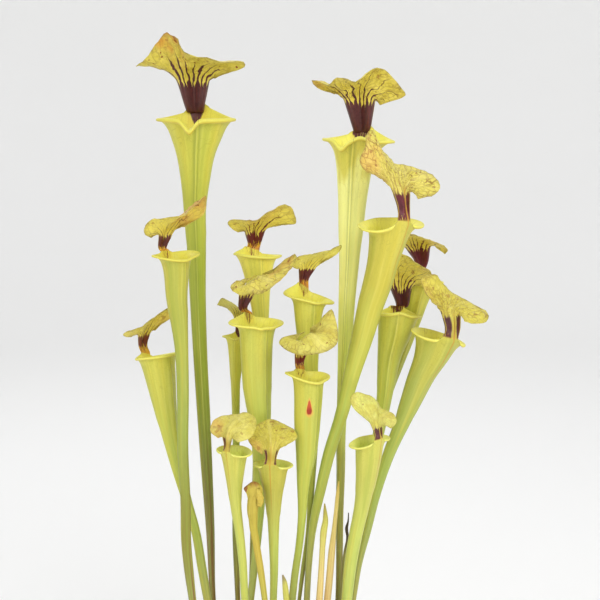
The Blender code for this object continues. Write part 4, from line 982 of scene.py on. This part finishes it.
def young_leaf(path):
    """The youngest leaf: a slim tube under a hood whose free side is still rolled up."""
    points, faces, facts = shoot(path)
    centre = path[6]

    def close(rows, labels):
        """Join rows of points of one length into a closed skin."""
        numbers = []
        for row, label in zip(rows, labels):
            numbers.append(list(range(len(points), len(points) + len(row))))
            points.extend(row)
            facts.extend(label)
        for low, high in zip(numbers, numbers[1:]):
            faces.extend(band(low, high))
        faces.extend([tuple(reversed(numbers[0])), tuple(numbers[-1])])

    # The hood: a pleated cap, 393 to 414 mm up, with a small beak at its left
    turns = np.linspace(0, 2 * math.pi, 40, endpoint=False)
    rows, labels = [], []
    for share in np.linspace(0.0, 1.0, 22):
        level = 1 - math.sqrt(max(1 - share**2, 0.0))
        half = (6.6 + 2.2 * math.sin(share * 2.6)) * math.sqrt(max(1 - share**3.6, 0.004))
        beak = 4.0 * math.exp(-((share - 0.66) / 0.16)**2)
        out_left = np.clip(-np.cos(turns), 0, 1)**6 * beak
        pleat = 1 + 0.05 * np.sin(turns * 9 + share * 2)
        x = centre[0] + 2.6 - 1.2 * level + np.cos(turns) * half * pleat - out_left
        y = centre[1] - 1.2 + np.sin(turns) * half * 0.85 * pleat
        z = 393.0 + 20.5 * share + 2.4 * np.cos(turns) * (1 - share)
        rows.append(np.column_stack([x, y, z]))
        tone = 0.20 * (1 - share) - 0.30 * (out_left > 1.4)
        labels.append(np.column_stack([np.cos(turns), np.sin(turns), tone]))
    close(rows, labels)

    # The scroll: a sheet 0.7 mm thick rolled up in front of the hood, 388 to 408 mm up
    turns = np.linspace(-2.6, 8.2, 46)
    curl = np.column_stack([np.cos(turns), np.sin(turns)])
    rows, labels = [], []
    for share in np.linspace(0.0, 1.0, 26):
        taper = math.sin(math.pi * (0.12 + 0.8 * share))**0.6
        radius = (4.3 - 0.33 * (turns + 2.6)) * taper
        radius = radius * (1 + 0.05 * np.sin(turns * 5 + share * 14)
                           + 0.06 * math.sin(share * 30))
        middle = np.array([-19.2 + 0.9 * math.sin(share * 5), -66.5])
        outer = middle + curl * (radius + 0.35)[:, None]
        inner = middle + curl * np.maximum(radius - 0.35, 0.15)[:, None]
        z = 388.0 + 19.5 * share + 0.7 * np.sin(turns * 2.0)
        rows.append(np.column_stack([np.vstack([outer, inner[::-1]]), [*z, *z[::-1]]]))
        tone = np.full(2 * len(turns), 0.30 + 0.1 * share)
        labels.append(np.column_stack([np.tile(curl, (2, 1)), tone]))
    close(rows, labels)
    return points, faces, facts


def wall_radius(height):
    """The pot's outer radius at a height of its plain wall."""
    share = height / (POT_HEIGHT - POT_BAND_HEIGHT)
    return POT_BASE_RADIUS + (POT_WALL_TOP_RADIUS - POT_BASE_RADIUS) * share


def rounded(profile, radii, steps=5):
    """Round the corners of an open profile of (radius, height)."""
    result = [profile[0]]
    for k in range(1, len(profile) - 1):
        here = np.array(profile[k], float)
        before = np.array(profile[k - 1], float) - here
        after = np.array(profile[k + 1], float) - here
        cut = min(radii[k], np.linalg.norm(before) * 0.45, np.linalg.norm(after) * 0.45)
        a, b = here + unit(before) * cut, here + unit(after) * cut
        for s in np.linspace(0, 1, steps):
            result.append(tuple(a * (1 - s)**2 + 2 * here * s * (1 - s) + b * s**2))
    result.append(profile[-1])
    return result


def turned(profile, sides):
    """Points and faces of a profile of (radius, height) turned about Z and closed on it."""
    points, rows = [], []
    for radius, height in profile:
        spokes = circle(sides, radius) if radius else [(0.0, 0.0)]
        rows.append([len(points) + k % len(spokes) for k in range(sides)])
        points += [(x, y, height) for x, y in spokes]
    return points, skin(rows)


def pot_piece():
    """A moulded nursery pot: tapered wall, stepped rim band and a floor with drain holes."""
    low = POT_HEIGHT - POT_BAND_HEIGHT
    band_radius = wall_radius(low) + POT_BAND_OUT
    top = band_radius + 1.5
    # From the middle of the underside, out and up the wall, over the rim and down to the floor
    profile = [
        (0, 2.0), (40.0, 2.0), (44.0, 0.0), (POT_BASE_RADIUS - 0.5, 0.0),
        (wall_radius(14), 14.0), (wall_radius(14) + 0.5, 15.2),
        (wall_radius(low), low), (band_radius, low + 2.0), (top, POT_HEIGHT - 1.0),
        (top - 1.1, POT_HEIGHT), (top - POT_WALL - 0.4, POT_HEIGHT - 0.4),
        (band_radius - POT_WALL - 0.6, low + 5.0), (wall_radius(low) - POT_WALL, low),
        (POT_BASE_RADIUS - POT_WALL - 1.0, POT_FLOOR), (0, POT_FLOOR)]
    radii = [0, 1.5, 1.5, 3.5, 0.6, 0.6, 1.0, 1.6, 1.2, 0.9, 0.9, 3.0, 3.0, 2.0, 0]
    points, faces = turned(rounded(profile, radii), POT_SIDES)

    # Dust, a pale tide mark near the foot and scuffs round the wall
    p = Paint("pot_plastic", Specular_IOR_Level=0.5)
    spot = p.position()
    x, y, height = p.split(spot)
    dust = p.noise(spot, 28.0, 4.0, 0.65)
    tide = height + (dust - 0.5) * 0.05
    marks = p.noise((x * 9.0, y * 9.0, height * 240.0), 6.0)
    colour = (p.mix(dust.fade(0.45, 0.75) * 0.5, (30, 31, 33), (52, 50, 47))
              .lay((78, 70, 60), tide.fade(0.05, 0.0) * 0.35)
              .lay((96, 94, 90), marks.fade(0.62, 0.72) * 0.16))
    paint = p.finish(colour, dust.fade(0.4, 0.75) * 0.3 + 0.36,
                     Height=p.noise(spot, 1400.0) * 0.5 + dust * 0.4, Strength=0.25,
                     Distance=0.0004)
    pot = make("pot_shell", points, faces, paint, ("pot",), {})

    # The drain holes are cut with six pegs
    peg, peg_faces = turned([(0, 8.0), (DRAIN_RADIUS, 8.0), (DRAIN_RADIUS, -5.0), (0, -5.0)],
                            DRAIN_SIDES)
    points, faces = [], []
    for x, y in circle(DRAIN_COUNT, DRAIN_CIRCLE):
        faces += [tuple(len(points) + c for c in f) for f in peg_faces]
        points += [((x + q[0]) * MM, (y + q[1]) * MM, q[2] * MM) for q in peg]
    pegs_mesh = bpy.data.meshes.new("drains")
    pegs_mesh.from_pydata(points, [], faces)
    pegs = bpy.data.objects.new("drains", pegs_mesh)
    bpy.context.scene.collection.objects.link(pegs)
    step = pot.modifiers.new("drains", "BOOLEAN")
    step.operation = "DIFFERENCE"
    step.solver = "EXACT"
    step.object = pegs
    bpy.context.view_layer.update()
    cut_pot = pot.evaluated_get(bpy.context.evaluated_depsgraph_get())
    cut_mesh = bpy.data.meshes.new_from_object(cut_pot)
    pot.modifiers.clear()
    pot.data = cut_mesh
    cut_mesh.set_sharp_from_angle(angle=math.radians(40))
    bpy.data.objects.remove(pegs)


def ground(x, y):
    """Height of the compost's uneven surface, in millimetres."""
    crown = 2.2 * (1 - 2 * (math.hypot(x, y) / 104.0)**2)
    wide = noise.noise((x / 34.0, y / 34.0, 3.0)) * 2.4
    clods = noise.fractal((x / 9.0, y / 9.0, 5.0), 0.9, 2.1, 4) * 1.7
    return COMPOST_TOP - 0.6 + crown + wide + clods


def ball():
    """A small faceted ball's points and faces."""
    work = bmesh.new()
    bmesh.ops.create_icosphere(work, subdivisions=2, radius=1.0)
    points = [tuple(v.co) for v in work.verts]
    faces = [tuple(v.index for v in f.verts) for f in work.faces]
    work.free()
    return points, faces


def peat_paint():
    """Peat, fibres, moss and grit, told apart by the first number of the fact "kind"."""
    p = Paint("peat", roughness=0.95, Specular_IOR_Level=0.15)
    label, shade, _ = p.fact("kind")
    spot = p.position()
    coarse = p.noise(spot, 160.0, 4.0, 0.7)
    fine = p.noise(spot, 900.0, 3.0, 0.7)
    fibre = label.fade(0.42, 0.46) * label.fade(0.58, 0.54)
    moss = label.fade(0.7, 0.74) * label.fade(0.88, 0.84)
    colour = (p.mix(coarse.fade(0.35, 0.7), (38, 27, 20), (84, 62, 44))
              .lay((128, 100, 70), fine.fade(0.6, 0.75) * 0.5)
              .lay(p.mix(coarse, (96, 70, 46), (164, 128, 84)), fibre)
              .lay(p.mix(shade, (96, 120, 40), (172, 184, 78)), moss)
              .lay(p.mix(fine, (176, 168, 152), (226, 222, 212)), label.fade(0.9, 0.94)))
    return p.finish(colour, Height=coarse + fine * 0.5, Strength=0.8, Distance=0.001)


def compost_piece():
    """Peat with fibres, grit and a little moss, filling the pot, as one piece."""
    draw = random.Random(11)
    shoulder = COMPOST_TOP - 8.0
    side_high = wall_radius(shoulder) - POT_WALL - 0.9
    side_low = POT_BASE_RADIUS - POT_WALL - 1.9
    points = [(0.0, 0.0, ground(0.0, 0.0))]
    rows = [[0] * COMPOST_SIDES]

    def ring(radius, height=None, drop=0.0):
        """A ring of the peat, at a height or on its uneven surface."""
        rows.append(list(range(len(points), len(points) + COMPOST_SIDES)))
        points.extend([(x, y, ground(x, y) - drop if height is None else height)
                       for x, y in circle(COMPOST_SIDES, radius)])

    for r in range(1, COMPOST_RINGS + 1):
        radius = side_high * (r / COMPOST_RINGS)**0.9 - 0.4
        ring(radius, drop=4.0 * smooth(side_high - 7.0, side_high, radius))
    ring(side_high, shoulder)
    ring(side_low, POT_FLOOR + 0.3)
    faces = [*skin(rows), tuple(rows[-1])]
    kind = [PEAT] * len(points)

    def anywhere():
        radius = STREWN_RADIUS * math.sqrt(draw.random())
        turn = draw.uniform(0, 6.28)
        return radius * math.cos(turn), radius * math.sin(turn)

    def lump(x, y, size, label):
        """A rough crumb or stone, half sunk in the peat."""
        first = len(points)
        z = ground(x, y) + size * 0.15
        turn = draw.uniform(0, 6.28)
        for q in ball_points:
            wob = 1 + 0.5 * noise.noise((q[0] * 1.7 + x, q[1] * 1.7 + y, q[2] * 1.7))
            right = (q[0] * math.cos(turn) - q[1] * math.sin(turn)) * size * wob
            back = (q[0] * math.sin(turn) + q[1] * math.cos(turn)) * size * wob * 0.8
            points.append((x + right, y + back, z + q[2] * size * 0.75 * wob))
            kind.append(label)
        faces.extend(tuple(first + c for c in f) for f in ball_faces)

    def strand(x, y, length, width, lean_to, label, rise):
        """A thin three-sided fibre or moss leaf that stands or lies on the peat."""
        first = len(points)
        heading = draw.uniform(0, 6.28)
        side = np.array([-math.sin(heading), math.cos(heading), 0.0])
        base = np.array([x, y, ground(x, y) - 0.6])
        for t in np.linspace(0.0, 1.0, STRAND_STEPS + 1):
            out = lean_to * length * t * t
            up = rise * length * (t - 0.35 * t * t)
            middle = base + np.array([math.cos(heading) * out, math.sin(heading) * out, up])
            wide = width * (1 - t)**0.7 + 0.05
            points.extend([middle + side * wide, middle - side * wide,
                           middle + np.array([0, 0, wide * 0.8])])
            kind.extend([label] * 3)
        for a in range(first, first + 3 * STRAND_STEPS, 3):
            faces.extend((a + u, a + v, a + 3 + v, a + 3 + u) for u, v in ((0, 1), (1, 2), (2, 0)))
        last = first + 3 * STRAND_STEPS
        faces.extend([(first, first + 2, first + 1), (last, last + 1, last + 2)])

    ball_points, ball_faces = ball()
    for _ in range(CRUMBS):
        x, y = anywhere()
        if draw.random() < 0.22:
            lump(x, y, draw.uniform(1.0, 2.3), GRIT)
        else:
            lump(x, y, draw.uniform(1.2, 3.4), CRUMB)
    for _ in range(FIBRES):
        x, y = anywhere()
        strand(x, y, draw.uniform(4, 13), draw.uniform(0.25, 0.6), 1.0, FIBRE,
               draw.uniform(0.02, 0.25))
    tufts = [(draw.uniform(-80, 80), draw.uniform(-80, 80), draw.uniform(7, 16))
             for _ in range(TUFTS)]
    for cx, cy, spread in tufts:
        if math.hypot(cx, cy) > 88:
            continue
        for _ in range(int(spread * 14)):
            x, y = draw.gauss(cx, spread * 0.45), draw.gauss(cy, spread * 0.45)
            if math.hypot(x, y) < 97:
                strand(x, y, draw.uniform(2.2, 5.0), draw.uniform(0.5, 0.9),
                       draw.uniform(0.2, 0.7), (MOSS, draw.random(), 0.0), 1.0)
    make("peat_fill", points, faces, peat_paint(), ("compost",), {"kind": kind})


def stage():
    """A round pale floor that curves up into a pale wall, soft lights and the camera."""
    scene = bpy.context.scene
    bend_at = WALL_RADIUS - WALL_BEND
    quarter = [math.pi / 2 * s / 12 for s in range(1, 13)]
    profile = [(0.0, 0.0), (bend_at, 0.0), (WALL_RADIUS, WALL_TOP)]
    profile[2:2] = [(bend_at + WALL_BEND * math.sin(turn), WALL_BEND * (1 - math.cos(turn)))
                    for turn in quarter]
    mesh = bpy.data.meshes.new("backdrop")
    points, faces = turned(profile, 96)
    mesh.from_pydata([(x, y + STAGE_MIDDLE, z) for x, y, z in points], [], faces)
    mesh.shade_smooth()
    p = Paint("backdrop_paper", roughness=0.9, Specular_IOR_Level=0.1)
    mesh.materials.append(p.finish((245, 245, 244)))
    backdrop = bpy.data.objects.new("backdrop", mesh)
    scene.collection.objects.link(backdrop)
    world = bpy.data.worlds.new("studio")
    scene.world = world
    world.use_nodes = True
    sky = world.node_tree.nodes["Background"]
    sky.inputs["Color"].default_value = (0.985, 0.985, 1.0, 1.0)
    sky.inputs["Strength"].default_value = 0.9
    for name, place, aim, size, power in LAMPS:
        light = bpy.data.lights.new(name, "AREA")
        light.shape = "DISK"
        light.size = size
        light.energy = power
        lamp = bpy.data.objects.new(name, light)
        lamp.location = place
        lamp.visible_camera = False
        towards = Vector((0.0, 0.0, aim)) - Vector(place)
        lamp.rotation_euler = towards.to_track_quat("-Z", "Y").to_euler()
        scene.collection.objects.link(lamp)
    camera = bpy.data.objects.new("camera", bpy.data.cameras.new("camera"))
    camera.data.lens = 64.0
    camera.data.sensor_width = 36.0
    camera.location = (0.024, -1.15, 0.796)
    camera.rotation_euler = (math.radians(90 - 9.7), 0.0, 0.0)
    scene.collection.objects.link(camera)
    scene.camera = camera
    scene.view_settings.view_transform = "Standard"


for number, (leaf_name, leaf_sizes) in enumerate(PITCHERS.items()):
    paint = leaf_paint(leaf_name + "_skin", LOOKS[leaf_name], 3.0 + 1.7 * number)
    pitcher(leaf_name, leaf_sizes, paint)
for shoot_name, shoot_path in SHOOTS.items():
    slot, stops, streak = SHOOT_LOOKS[shoot_name]
    paint = shoot_paint(shoot_name + "_skin", stops, streak)
    grow = young_leaf if shoot_name.startswith("young") else shoot
    shoot_points, shoot_faces, shoot_facts = grow(shoot_path)
    make(shoot_name + "_stem", shoot_points, shoot_faces, paint, (shoot_name,),
         {"ring": shoot_facts})
pot_piece()
compost_piece()
stage()
